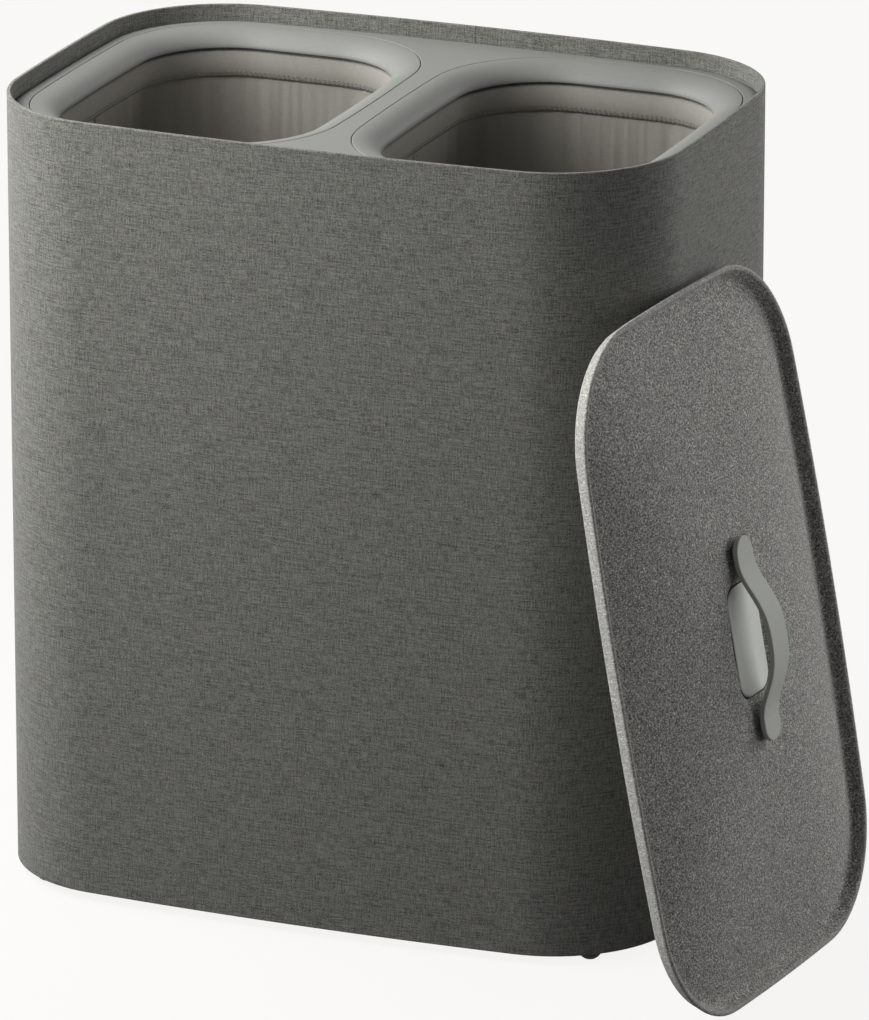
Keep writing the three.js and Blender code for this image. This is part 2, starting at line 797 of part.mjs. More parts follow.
// The lid stands on the floor and leans on the sleeve's right side
const yaw = THREE.MathUtils.degToRad(lidYawDegrees);
const lean = THREE.MathUtils.degToRad(lidLeanDegrees);
const outward = new THREE.Vector3(Math.cos(yaw), -Math.sin(yaw), 0);
const upward = new THREE.Vector3(0, 0, 1);
const lidLong = upward.clone().multiplyScalar(Math.cos(lean)).addScaledVector(outward, -Math.sin(lean));
const lidFace = outward.clone().multiplyScalar(Math.cos(lean)).addScaledVector(upward, Math.sin(lean));
const lidCross = lidFace.clone().cross(lidLong);
lid.quaternion.setFromRotationMatrix(new THREE.Matrix4().makeBasis(lidLong, lidCross, lidFace));

function sleeveSideAt(y) {
  const side = shapePoints(sleeveShape).filter((p) => p.x > 0).sort((a, b) => a.y - b.y);
  for (let i = 0; i < side.length - 1; i += 1) {
    const [a, b] = [side[i], side[i + 1]];
    if (y >= a.y && y <= b.y) {
      return a.x + (b.x - a.x) * (y - a.y) / (b.y - a.y);
    }
  }
  return 0;
}

function leanLid() {
  const felt = lid.children[0].geometry.attributes.position;
  const points = Array.from({ length: felt.count }, (_, i) => (
    new THREE.Vector3().fromBufferAttribute(felt, i).applyQuaternion(lid.quaternion)
  ));
  const rise = -Math.min(...points.map((p) => p.z));
  const beside = points.filter((p) => p.z + rise < sleeveTop);
  const shift = Math.max(...beside.map((p) => sleeveSideAt(p.y + lidAlongSide) + 2 * fitGap - p.x));
  lid.position.set(shift, lidAlongSide, rise);
}

leanLid();
hamper.add(lid);

// The origin is on the floor under the middle of the whole
hamper.updateMatrixWorld(true);
const whole = new THREE.Box3().setFromObject(hamper, true);
const middle = whole.getCenter(new THREE.Vector3());
hamper.position.set(-middle.x, -middle.y, -whole.min.z);

export default hamper;
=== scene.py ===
"""Looks of a laundry hamper with two bins: linen sleeve, moulded deck and rings, fabric bags, felt lid."""

import math

import bmesh
import bpy
from bpy.props import FloatProperty, FloatVectorProperty, IntProperty, PointerProperty
from bpy.types import Operator, Panel, PropertyGroup
from mathutils import Matrix, Vector, noise


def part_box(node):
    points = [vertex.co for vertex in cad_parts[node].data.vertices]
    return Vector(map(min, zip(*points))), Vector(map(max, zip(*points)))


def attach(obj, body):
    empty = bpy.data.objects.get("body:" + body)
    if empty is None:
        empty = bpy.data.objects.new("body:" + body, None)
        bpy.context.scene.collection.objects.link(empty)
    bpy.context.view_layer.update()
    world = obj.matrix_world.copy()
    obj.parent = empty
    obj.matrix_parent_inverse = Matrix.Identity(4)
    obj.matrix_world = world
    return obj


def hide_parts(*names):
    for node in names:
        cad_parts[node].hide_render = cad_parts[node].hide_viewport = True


bl_info = {
    "name": "Two-Bin Laundry Hamper",
    "version": (1, 0, 0),
    "blender": (4, 5, 0),
    "location": "3D View > Sidebar > Hamper",
    "description": "Finishes a laundry hamper with two lift-out bags and a domed felt lid",
    "category": "Object",
}

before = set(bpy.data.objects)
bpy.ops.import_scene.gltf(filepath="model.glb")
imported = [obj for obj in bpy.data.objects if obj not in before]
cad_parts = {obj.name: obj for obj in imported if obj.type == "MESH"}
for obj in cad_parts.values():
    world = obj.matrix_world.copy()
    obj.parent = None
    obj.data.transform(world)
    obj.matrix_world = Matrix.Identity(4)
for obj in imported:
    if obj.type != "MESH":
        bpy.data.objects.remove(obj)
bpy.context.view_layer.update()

SIDES = ("left", "right")
BODY = "hamper_body"
LID = "lid"
LIFT_BODIES = {"left": "left_bag_unit", "right": "right_bag_unit"}


def node_size(node, axis):
    low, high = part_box(node)
    return (high - low)[axis]


def node_middle(node):
    low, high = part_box(node)
    return (low + high) / 2


def node_top(node):
    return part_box(node)[1].z


def node_bottom(node):
    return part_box(node)[0].z


# Sizes and colours


def length(name, description, default):
    return FloatProperty(name=name, description=description, default=default, unit="LENGTH", precision=4)


def share(name, description, default):
    return FloatProperty(name=name, description=description, default=default, subtype="FACTOR")


def angle(name, description, degrees):
    return FloatProperty(name=name, description=description, default=math.radians(degrees), subtype="ANGLE")


def position(name, description, x, y, z):
    return FloatVectorProperty(
        name=name, description=description, default=(x, y, z), size=3, subtype="TRANSLATION"
    )


def linear(shown):
    """The light that a colour value between 0 and 1 stands for."""
    return shown / 12.92 if shown <= 0.04045 else ((shown + 0.055) / 1.055) ** 2.4


def colour(name, description, red, green, blue):
    mixed = tuple(linear(shown / 255) for shown in (red, green, blue))
    return FloatVectorProperty(
        name=name, description=description, default=mixed, size=3, min=0.0, max=1.0, subtype="COLOR"
    )


class HamperSizes(PropertyGroup):
    """Sizes of the hamper's pieces."""

    sleeve_width: length("Sleeve width", "Across the front", node_size("outer_sleeve", 0))
    sleeve_depth: length("Sleeve depth", "Front to back", node_size("outer_sleeve", 1))
    sleeve_front_bow: length("Front bow", "How far the front and back bulge", 0.0133)
    sleeve_side_bow: length("Side bow", "How far the two sides bulge", 0.0061)
    sleeve_corner: length("Sleeve corner", "Corner radius of the sleeve", 0.107)
    sleeve_wall: length("Sleeve wall", "Thickness of the linen-covered wall", 0.0033)
    ring_width: length("Ring width", "Width of a bag ring", node_size("left_bag_ring", 0) + 0.0006)
    ring_depth: length("Ring depth", "Depth of a bag ring", node_size("left_bag_ring", 1) + 0.0006)
    ring_corner: length("Ring corner", "Corner radius of a ring", 0.0965)
    ring_face_side: length("Ring face at the side", "Rolled face at the sides", 0.0226)
    ring_face_front: length("Ring face at the front", "Rolled face at front and back", 0.0262)
    ring_drop: length("Ring drop", "How far the face rolls down to its lip", 0.0125)
    mouth_corner: length("Mouth corner", "Corner radius of a mouth", 0.074)
    deck_recess: length("Deck recess", "From the sleeve's top to the deck", 0.0126)
    bag_swell: length("Bag swell", "How far a bag's wall stands out below its hem", 0.004)
    bag_round: length("Bag base radius", "Rounding between a bag's wall and floor", 0.022)
    bag_fold: length("Fold depth", "Depth of the soft folds in a bag", 0.007)
    strap_width: length("Strap width", "Width of the carry webbing", 0.024)
    strap_span: length("Strap span", "Width of a carry loop", 0.096)
    strap_hang: length("Strap hang", "How far a carry loop hangs", 0.104)
    lid_rim: length("Lid rim height", "Height of the upturned rim", 0.0137)
    lid_flare: length("Lid flare", "How far the rim leans outward", 0.0079)
    lid_felt: length("Felt thickness", "Thickness of the pressed felt", 0.0036)
    lid_rise: length("Lid rise", "How far the floor domes up", 0.029)
    lid_lean: angle("Lid lean", "Lean against the sleeve", 10.7)
    lid_yaw: angle("Lid yaw", "Turn of the lid about the upright", 5.5)
    lid_place: position("Lid place", "Centre of the lid's floor", 0.27255, -0.06715, 0.27436)
    pad_length: length("Pad length", "Length of the finger pad", 0.09)
    pad_width: length("Pad width", "Width of the finger pad", 0.05)
    pad_corner: length("Pad corner", "Corner radius of the pad", 0.015)
    pad_drop: length("Pad drop", "From the crown of the felt to the pad", 0.003)
    pad_dish: length("Pad dish", "Depth of the pad's hollow", 0.0006)
    pad_slit: length("Pad slit", "Dark gap round the pad", 0.0015)
    pressed_edge: length("Pressed edge", "Width of the felt's thinned edge", 0.006)
    pressed_felt: length("Pressed felt", "Thickness of the felt's thinned edge", 0.0004)
    handle_length: length("Handle length", "From end to end of the strap handle", 0.168)
    handle_width: length("Handle width", "Width of the strap handle", 0.028)
    handle_thickness: length("Handle thickness", "Thickness of the strap handle", 0.0044)
    handle_foot: length("Handle foot", "Flat length at each end", 0.019)
    handle_rise: length("Handle rise", "From a foot to the top of the arch", 0.0182)
    handle_standoff: length("Handle standoff", "From the crown of the felt to a foot", 0.0024)
    handle_curve: share("Handle curve", "Above 1 the arch stays full for longer", 1.37)
    boss_radius: length("Boss radius", "Radius of the boss under a foot", 0.008)
    stitch_pitch: length("Stitch pitch", "From stitch to stitch", 0.0042)
    seam_tape: length("Seam tape", "Width of the tape over a bag's side seam", 0.009)
    lens: FloatProperty(name="Lens", description="Focal length", default=327.85, unit="CAMERA")
    view_distance: length("View distance", "From the camera to its target", 7.5557)
    view_azimuth: angle("View azimuth", "Camera to the right of the front", 22.0)
    view_elevation: angle("View elevation", "Camera above the level", 18.36)
    view_target: position("View target", "What the camera looks at", -0.01918, 0.06235, 0.30608)
    simulation_frames: IntProperty(name="Cloth frames", description="Steps that settle the bags", default=26)


class HamperColours(PropertyGroup):
    """Colours and texture scales of the finishes."""

    linen: colour("Linen", "Woven cover of the sleeve", 103, 103, 98)
    linen_slub: colour("Linen slub", "Darker thick threads", 66, 66, 62)
    thread_pitch: length("Thread pitch", "From thread to thread of the linen", 0.0012)
    deck: colour("Deck", "Moulded deck and rings", 120, 121, 117)
    bag: colour("Bag", "Fabric of the bags", 133, 130, 123)
    strap: colour("Strap", "Carry webbing", 52, 52, 51)
    base: colour("Base", "Tray, hoops and other hidden mouldings", 58, 58, 56)
    board: colour("Board", "Floor boards of the bags", 44, 44, 43)
    foot: colour("Foot", "Rubber studs", 26, 26, 25)
    felt: colour("Felt", "Mean grey of the felt", 136, 135, 130)
    felt_light: colour("Felt light fibre", "Palest fibres of the felt", 216, 215, 209)
    felt_dark: colour("Felt dark fibre", "Darkest fibres of the felt", 78, 78, 74)
    handle: colour("Handle", "Strap handle", 186, 188, 182)
    pad: colour("Pad", "Finger pad", 229, 231, 225)
    steel: colour("Steel", "Screws", 150, 150, 150)
    backdrop: colour("Backdrop", "Pale surroundings", 249, 248, 246)


# Outlines


def bow_radius(chord, bow):
    return (chord * chord / 4 + bow * bow) / (2 * bow)


def quarter_turn(steps):
    """Even turns from nothing to a right angle."""
    return [math.pi / 2 * i / steps for i in range(steps + 1)]


def circle(count, radius=1.0):
    """Points round a circle about the origin."""
    turns = (math.tau * i / count for i in range(count))
    return [Vector((math.cos(turn), math.sin(turn))) * radius for turn in turns]


def arc(centre, radius, start, end, steps):
    return [
        centre + radius * Vector((math.cos(turn), math.sin(turn)))
        for turn in (start + (end - start) * i / steps for i in range(steps))
    ]


class Outline:
    """A rounded rectangle with four bowed sides joined by tangent corner arcs."""

    SIDE_STEPS, CORNER_STEPS, FRONT_STEPS = 10, 20, 14

    def __init__(self, half_width, half_depth, front_radius, side_radius, corner, centre):
        self.half_width = half_width
        self.half_depth = half_depth
        self.front_radius = front_radius
        self.side_radius = side_radius
        self.corner = corner
        self.centre = centre

    @classmethod
    def bowed(cls, width, depth, front_bow, side_bow, corner, centre):
        front, side = bow_radius(width, front_bow), bow_radius(depth, side_bow)
        return cls(width / 2, depth / 2, front, side, corner, Vector((centre[0], centre[1])))

    def inset(self, distance):
        return Outline(
            self.half_width - distance, self.half_depth - distance, self.front_radius - distance,
            self.side_radius - distance, self.corner - distance, self.centre,
        )

    def points(self):
        """Points round the outline, from the middle of the back towards the left."""
        front_centre = Vector((0, self.half_depth - self.front_radius))
        side_centre = Vector((self.half_width - self.side_radius, 0))
        front_reach, side_reach = self.front_radius - self.corner, self.side_radius - self.corner
        apart = side_centre - front_centre
        gap = apart.length
        along = (front_reach ** 2 - side_reach ** 2 + gap ** 2) / (2 * gap)
        across = math.sqrt(front_reach ** 2 - along ** 2)
        unit = apart / gap
        crossings = [
            front_centre + unit * along + Vector((-unit.y, unit.x)) * across * side for side in (1, -1)
        ]
        corner = max(crossings, key=lambda p: p.x + p.y)
        side_turn = math.atan2(corner.y, corner.x - side_centre.x)
        front_turn = math.atan2(corner.y - front_centre.y, corner.x)
        quarter = [
            *arc(side_centre, self.side_radius, 0, side_turn, self.SIDE_STEPS),
            *arc(corner, self.corner, side_turn, front_turn, self.CORNER_STEPS),
            *arc(front_centre, self.front_radius, front_turn, math.pi / 2, self.FRONT_STEPS),
        ]
        back = Vector((0, self.half_depth))
        left = [Vector((-p.x, p.y)) for p in reversed(quarter)]
        lower_left = [Vector((p.x, -p.y)) for p in reversed(left[:-1])]
        front = Vector((0, -self.half_depth))
        lower_right = [Vector((-p.x, p.y)) for p in reversed(lower_left)]
        upper_right = [Vector((-p.x, p.y)) for p in reversed(left)]
        whole = [back, *left, *lower_left, front, *lower_right, *upper_right]
        return [p + self.centre for p in whole]

    def front_y(self, x):
        """Where the front or back bow lies at x, as a distance from the centre."""
        rise = math.sqrt(self.front_radius ** 2 - (x - self.centre.x) ** 2)
        return self.half_depth - self.front_radius + rise


def level(points, z):
    return [Vector((p.x, p.y, z)) for p in points]


def way_out(centre, point):
    """The level direction from a middle to a point."""
    return (point.xy - centre).to_3d().normalized()


def between(first, second, part):
    return [a.lerp(b, part) for a, b in zip(first, second)]


def travelled(rings):
    """How far the first points of the rings lie along a loft, from the first ring to the last."""
    return sum((after[0] - before[0]).length for before, after in zip(rings, rings[1:]))


def eased(rings, radii, steps, loop=False):
    """Rings with the corners of their section rounded by the given radii."""
    made = []
    count = len(rings)
    for k, (ring, radius) in enumerate(zip(rings, radii)):
        inner = loop or 0 < k < count - 1
        if not radius or not inner:
            made.append(ring)
            continue
        before, after = rings[k - 1], rings[(k + 1) % count]
        for i in range(steps + 1):
            t = i / steps
            turned = []
            for a, p, b in zip(before, ring, after):
                start = p + (a - p) * min(0.5, radius / max((a - p).length, 1e-9))
                end = p + (b - p) * min(0.5, radius / max((b - p).length, 1e-9))
                turned.append(start * (1 - t) ** 2 + p * 2 * t * (1 - t) + end * t ** 2)
            made.append(turned)
    return made


# Meshes


def new_object(name, mesh_maker):
    mesh = bpy.data.meshes.new(name)
    build = bmesh.new()
    mesh_maker(build)
    bmesh.ops.recalc_face_normals(build, faces=build.faces)
    build.to_mesh(mesh)
    build.free()
    mesh.shade_smooth()
    piece = bpy.data.objects.new(name, mesh)
    bpy.context.scene.collection.objects.link(piece)
    return piece


def lofted(name, rings, **kind):
    return new_object(name, lambda build: add_loft(build, rings, **kind))


def weave_layer(build):
    return build.loops.layers.uv.get("cloth") or build.loops.layers.uv.new("cloth")


def add_loft(build, rings, loop=False, caps=(False, False)):
    """Quads between rings of points, with the cloth laid out in metres round and along them."""
    layer = weave_layer(build)
    made = [[build.verts.new(p) for p in ring] for ring in rings]
    count = len(rings[0])
    guide = rings[len(rings) // 2]
    around = [0.0]
    for i in range(count):
        around.append(around[-1] + (guide[(i + 1) % count] - guide[i]).length)
    along = [0.0]
    total = len(rings)
    for k in range(total):
        along.append(along[-1] + (rings[(k + 1) % total][0] - rings[k][0]).length)
    for k in range(total if loop else total - 1):
        here, after = made[k], made[(k + 1) % total]
        for i in range(count):
            j = (i + 1) % count
            face = build.faces.new((here[i], here[j], after[j], after[i]))
            spots = ((i, k), (i + 1, k), (i + 1, k + 1), (i, k + 1))
            for corner, (a, b) in zip(face.loops, spots):
                corner[layer].uv = (around[a], along[b])
    for capped, k in zip(caps, (0, total - 1)):
        if capped:
            face = build.faces.new(made[k])
            for corner in face.loops:
                corner[layer].uv = corner.vert.co.xy
    return made


def add_box(build, middle, sizes):
    layer = weave_layer(build)
    made = bmesh.ops.create_cube(build, size=1.0)["verts"]
    bmesh.ops.scale(build, vec=Vector(sizes), verts=made)
    bmesh.ops.translate(build, vec=Vector(middle), verts=made)
    for face in {face for vert in made for face in vert.link_faces}:
        for corner in face.loops:
            corner[layer].uv = corner.vert.co.xz


def add_modifier(piece, kind, **settings):
    modifier = piece.modifiers.new(kind.title(), kind)
    for key, value in settings.items():
        setattr(modifier, key, value)


def soften(piece, width):
    """Eases a moulded piece's sharp edges."""
    add_modifier(
        piece, "BEVEL", width=width, segments=2, limit_method="ANGLE", angle_limit=math.radians(35),
        harden_normals=True,
    )


def weighted(piece):
    add_modifier(piece, "WEIGHTED_NORMAL", weight=60, keep_sharp=True)


def put(piece, body, material, replaced=(), place=None):
    """Gives a piece its place, body and finish, and hides the nodes that it replaces."""
    if place is not None:
        piece.data.transform(place)
    piece.data.materials.clear()
    piece.data.materials.append(material)
    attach(piece, body)
    if replaced:
        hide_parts(*replaced)


def refinish(node, material, width=0.0008):
    """Keeps a CAD node's shape and gives it a better finish."""
    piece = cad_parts[node]
    if not piece.material_slots:
        piece.data.materials.append(material)
    for slot in piece.material_slots:
        slot.link = "OBJECT"
        slot.material = material
    soften(piece, width)


# Finishes

SEAM_EDGE = (0.00025, 0.0006)
# Painted shade: near black in the slit round the pad, and darker on the plate's hidden back
SLIT_SHADE_TONE, BACK_SHADE_TONE = 0.1, 0.45
FELT_SCALE = (1.75, 1.15, 1.75)
# Turn and fineness of three layers of fibres
FELT_FIBRES = (((0.3, 0.2, 0.4), 480.0), ((0.5, -0.3, 1.5), 520.0), ((-0.4, 0.5, 2.6), 560.0))
# The band round the outside of the lid's rim fades in and out over RIM_FADE and is made lighter by painted
# light
RIM_FADE = 0.001
RIM_PAINTED_LIGHT = 0.38


class Flow:
    """A shader socket that takes part in sums, so that nodes and numbers mix in one expression."""

    def __init__(self, paint, socket):
        self.paint = paint
        self.socket = socket

    def joined(self, operation, other, turned=False):
        first, second = (other, self) if turned else (self, other)
        return self.paint.add("ShaderNodeMath", {"operation": operation}, {0: first, 1: second})

    def __add__(self, other):
        return self.joined("ADD", other)

    def __radd__(self, other):
        return self.joined("ADD", other, True)

    def __sub__(self, other):
        return self.joined("SUBTRACT", other)

    def __rsub__(self, other):
        return self.joined("SUBTRACT", other, True)

    def __mul__(self, other):
        return self.joined("MULTIPLY", other)

    def __rmul__(self, other):
        return self.joined("MULTIPLY", other, True)

    def __gt__(self, other):
        return self.joined("GREATER_THAN", other)

    def most(self, other):
        return self.joined("MAXIMUM", other)


class Paint:
    """A material or world and the nodes that make it."""

    def __init__(self, owner):
        self.owner = owner
        owner.use_nodes = True
        self.tree = owner.node_tree
        self.tree.nodes.clear()

    def add(self, kind, settings=None, inputs=None, output=0):
        node = self.tree.nodes.new(kind)
        for key, value in (settings or {}).items():
            setattr(node, key, value)
        for key, value in (inputs or {}).items():
            if isinstance(value, Flow):
                self.tree.links.new(value.socket, node.inputs[key])
            else:
                node.inputs[key].default_value = value
        return Flow(self, node.outputs[output])

    def cloth(self):
        return self.add("ShaderNodeUVMap", {"uv_map": "cloth"})

    def along(self):
        """Metres along a lofted piece, from its first ring."""
        return self.add("ShaderNodeSeparateXYZ", None, {0: self.cloth()}, output=1)

    def place(self):
        return self.add("ShaderNodeTexCoord", output="Object")

    def stretched(self, where, x, y, z=1.0):
        return self.add("ShaderNodeVectorMath", {"operation": "MULTIPLY"}, {0: where, 1: (x, y, z)})

    def turned(self, where, turn):
        inputs = {"Vector": where, "Rotation": turn}
        return self.add("ShaderNodeVectorRotate", {"rotation_type": "EULER_XYZ"}, inputs)

    def noise(self, where, scale=1.0, detail=2.0, roughness=0.5):
        inputs = {"Vector": where, "Scale": scale, "Detail": detail, "Roughness": roughness}
        return self.add("ShaderNodeTexNoise", None, inputs)

    def ranged(self, value, low, high, new_low=0.0, new_high=1.0):
        return self.add(
            "ShaderNodeMapRange", {"interpolation_type": "SMOOTHSTEP"},
            {"Value": value, "From Min": low, "From Max": high, "To Min": new_low, "To Max": new_high},
        )

    def mixed(self, factor, first, second, kind="MIX"):
        def tone(value):
            return value if isinstance(value, Flow) else (*value, 1.0)
        return self.add(
            "ShaderNodeMix", {"data_type": "RGBA", "blend_type": kind},
            {0: factor, 6: tone(first), 7: tone(second)}, output=2,
        )

    def shaded(self, tone, factor):
        """A colour made darker or lighter by a value."""
        grey = self.add("ShaderNodeCombineColor", None, {0: factor, 1: factor, 2: factor})
        return self.mixed(1.0, tone, grey, "MULTIPLY")

    def bumped(self, height, strength, distance):
        inputs = {"Height": height, "Strength": strength, "Distance": distance}
        return self.add("ShaderNodeBump", None, inputs)

    def ended(self, surface, output="ShaderNodeOutputMaterial"):
        """Leads a surface to the output and returns what it belongs to."""
        self.tree.links.new(surface.socket, self.tree.nodes.new(output).inputs["Surface"])
        return self.owner

    def finished(self, **sockets):
        """Ends the nodes in one surface, its sockets named as keywords, and returns the material."""
        named = {
            key.replace("_", " ").title().replace("Ior", "IOR"): value for key, value in sockets.items()
        }
        return self.ended(self.add("ShaderNodeBsdfPrincipled", None, named))


def palette(name):
    """The hamper's colours and a new material to mix them in."""
    return bpy.context.scene.hamper_colours, Paint(bpy.data.materials.new(name))


def once(maker):
    """Makes a finish the first time that a piece asks for it."""
    made = {}

    def find(*words):
        if words not in made:
            made[words] = maker(*words)
        return made[words]
    return find


def back_seam(paint):
    """1 on the fine upright line at the back where the ends of the rolled sheet meet."""
    middle = node_middle("outer_sleeve")
    inputs = {0: paint.place()}
    across, behind = (paint.add("ShaderNodeSeparateXYZ", None, inputs, output=way) for way in (0, 1))
    away = paint.add("ShaderNodeMath", {"operation": "ABSOLUTE"}, {0: across - middle.x})
    return paint.ranged(away, *SEAM_EDGE, 1.0, 0.0) * (behind > middle.y)


def varied(*parts):
    """1, made lighter and darker by patterns round a half, each with its weight."""
    tone = 1.0
    for pattern, weight in parts:
        tone = tone + (pattern - 0.5) * weight
    return tone


@once
def linen_finish():
    tones, paint = palette("linen_cover")
    cloth = paint.cloth()
    fine = 1.0 / tones.thread_pitch

    def threads(around, up, low=0.34, high=0.66):
        return paint.ranged(paint.noise(paint.stretched(cloth, around, up)), low, high)

    weft = threads(fine / 8, fine * 1.05)
    warp = threads(fine * 1.05, fine / 9)
    grain = threads(fine * 1.05, fine * 1.05)
    streak = threads(30.0, fine / 1.7, 0.36, 0.64)
    slub = threads(20.0, 620.0, 0.6, 0.72)
    cloud = paint.noise(paint.stretched(cloth, 34.0, 48.0), detail=3.0)
    seam = back_seam(paint)
    mixed = paint.mixed((slub * 0.45).most(seam * 0.85), tones.linen, tones.linen_slub)
    tone = varied((weft, 0.36), (warp, 0.4), (grain, 0.66), (streak, 0.2), (cloud, 0.2))
    height = weft * 0.5 + warp * 0.4 + grain * 0.5 - slub * 0.3 - seam * 1.6
    return paint.finished(
        base_color=paint.shaded(mixed, tone), roughness=0.9 - weft * 0.12,
        normal=paint.bumped(height, 0.3, 0.0004), specular_ior_level=0.25, sheen_weight=0.12,
        sheen_roughness=0.5,
    )


@once
def moulded_finish(name, tone_name, rough, grain_depth, gloss=0.3, joint=None):
    """A moulded plastic.

    A joint is the start and end, along a lofted piece, of a narrow slit darkened with painted shade, before a
    back darkened with painted shade.
    """
    tones, paint = palette(name)
    place = paint.place()
    spark = paint.noise(place, scale=700.0, detail=3.0, roughness=0.6)
    cloud = paint.noise(place, scale=14.0, detail=3.0)
    tone = 0.97 + cloud * 0.05 + (spark - 0.5) * 0.22
    if joint is not None:
        start, end = joint
        along = paint.along()
        # Painted shade in the slit, and then over the back
        face = paint.ranged(along, start - 0.0004, start, 1.0, SLIT_SHADE_TONE)
        tone = tone * (face + paint.ranged(along, end, end + 0.001, 0.0, BACK_SHADE_TONE - SLIT_SHADE_TONE))
    return paint.finished(
        base_color=paint.shaded(getattr(tones, tone_name), tone),
        roughness=rough + (spark - 0.5) * 0.1 + (cloud - 0.5) * 0.08,
        normal=paint.bumped(spark, grain_depth, 0.0003), specular_ior_level=gloss,
    )


@once
def felt_finish(painted_light_start, painted_light_end):
    """Pressed felt with painted light round the outside of the rim, where the grain is also calmer."""
    tones, paint = palette("lid_felt")
    along = paint.along()
    # 1 on the outside of the rim, where the painted light and a calmer grain go
    rim = paint.ranged(along, painted_light_start, painted_light_start + RIM_FADE)
    rim = rim * paint.ranged(along, painted_light_end - RIM_FADE, painted_light_end, 1.0, 0.0)
    place = paint.stretched(paint.place(), *FELT_SCALE)
    fibres = []
    for turn, fine in FELT_FIBRES:
        laid = paint.stretched(paint.turned(place, turn), fine / 5, fine, fine)
        fibres.append(paint.noise(laid, roughness=0.6))
    tuft = paint.ranged(paint.noise(place, scale=420.0, roughness=0.6), 0.32, 0.68)
    cloud = paint.noise(place, scale=90.0, detail=3.0)
    light = paint.ranged(fibres[0].most(fibres[1]), 0.52, 0.68)
    dark = paint.ranged(fibres[2].most(fibres[1] * 0.96), 0.54, 0.7)
    mixed = paint.mixed(light * (0.8 - rim * 0.35), tones.felt, tones.felt_light)
    mixed = paint.mixed(dark * 0.75, mixed, tones.felt_dark)
    grain = (tuft - 0.5) * 1.25 + (cloud - 0.5) * 0.45
    # Painted light makes the outside of the rim lighter
    tone = (1.0 + grain * (1.0 - rim * 0.5)) * (1.0 + rim * RIM_PAINTED_LIGHT)
    height = tuft + fibres[0] * 0.6 + fibres[2] * 0.6
    return paint.finished(
        base_color=paint.shaded(mixed, tone), roughness=0.95, normal=paint.bumped(height, 0.4, 0.0009),
        specular_ior_level=0.15, sheen_weight=0.25, sheen_roughness=0.6,
    )


@once
def bag_finish():
    tones, paint = palette("bag_fabric")
    cloth = paint.cloth()
    weft, warp = (paint.noise(paint.stretched(cloth, *fine)) for fine in ((110.0, 1500.0), (1500.0, 110.0)))
    cloud = paint.noise(paint.stretched(cloth, 6.0, 6.0), detail=3.0)
    tone = varied((weft, 0.3), (warp, 0.3), (cloud, 0.1))
    return paint.finished(
        base_color=paint.shaded(tones.bag, tone), roughness=0.92,
        normal=paint.bumped(weft + warp, 0.3, 0.0004), specular_ior_level=0.2, sheen_weight=0.15,
        sheen_roughness=0.5,
    )


@once
def strap_finish():
    tones, paint = palette("bag_webbing")
    cloth = paint.cloth()
    ribs = paint.add(
        "ShaderNodeTexWave", {"wave_type": "BANDS", "bands_direction": "X", "wave_profile": "SIN"},
        {"Vector": cloth, "Scale": 160.0, "Distortion": 1.2, "Detail": 1.0}, output="Fac",
    )
    yarn = paint.noise(paint.stretched(cloth, 1600.0, 500.0))
    tone = 0.8 + ribs * 0.3 + (yarn - 0.5) * 0.35
    return paint.finished(
        base_color=paint.shaded(tones.strap, tone), roughness=0.85,
        normal=paint.bumped(ribs + yarn * 0.5, 0.5, 0.0005), specular_ior_level=0.25,
    )


@once
def stitch_finish(name, tone_name, lift):
    tones, paint = palette(name)
    twist = paint.noise(paint.place(), scale=2200.0, detail=1.0)
    tone = tuple(min(1.0, part * lift) for part in getattr(tones, tone_name))
    return paint.finished(base_color=paint.shaded(tone, 0.85 + twist * 0.3), roughness=0.75)


@once
def rubber_finish():
    tones, paint = palette("foot_rubber")
    grain = paint.noise(paint.place(), scale=900.0, detail=3.0)
    return paint.finished(
        base_color=paint.shaded(tones.foot, 0.85 + grain * 0.3), roughness=0.7 + grain * 0.15,
        normal=paint.bumped(grain, 0.2, 0.0004), specular_ior_level=0.35,
    )


@once
def steel_finish():
    tones, paint = palette("screw_steel")
    worn = paint.noise(paint.place(), scale=600.0, detail=3.0)
    return paint.finished(
        base_color=paint.shaded(tones.steel, 0.9 + worn * 0.15), roughness=0.28 + worn * 0.15,
        metallic=1.0,
    )


# Shapes that several pieces share

FIT = 0.0003
SLEEVE_EDGE = 0.0011
DECK_PLATE = 0.003
SHOULDER_WIDTH, SHOULDER_DROP = 0.009, 0.0044
SKIRT_HEIGHT, SKIRT_WALL = 0.026, 0.0024
LEDGE_WIDTH, LEDGE_PLATE, LEDGE_WALL = 0.0075, 0.0026, 0.0024
DECK_RIB_WALL, DECK_RIB_HEIGHT = 0.003, 0.022
RING_FRONT_BOW, RING_SIDE_BOW = 0.0012, 0.006
MOUTH_FRONT_BOW, MOUTH_SIDE_BOW = 0.0012, 0.005
RING_FLANGE = 0.003
RING_WALL = 0.0025
RING_LIP = 0.0012
RING_SEAM = 0.0006
COLLAR_SETBACK, COLLAR_WALL = 0.008, 0.0024
FABRIC = 0.0014
BAG_WALL = COLLAR_SETBACK - FIT - FABRIC / 2


def sleeve_outline(sizes):
    return Outline.bowed(
        sizes.sleeve_width, sizes.sleeve_depth, sizes.sleeve_front_bow, sizes.sleeve_side_bow,
        sizes.sleeve_corner, node_middle("outer_sleeve"),
    )


def seat_outline(sizes, side):
    return Outline.bowed(
        sizes.ring_width, sizes.ring_depth, RING_FRONT_BOW, RING_SIDE_BOW, sizes.ring_corner,
        node_middle(f"{side}_bag_ring"),
    )


def mouth_outline(sizes, side):
    return Outline.bowed(
        sizes.ring_width - 2 * sizes.ring_face_side, sizes.ring_depth - 2 * sizes.ring_face_front,
        MOUTH_FRONT_BOW, MOUTH_SIDE_BOW, sizes.mouth_corner, node_middle(f"{side}_bag_ring"),
    )


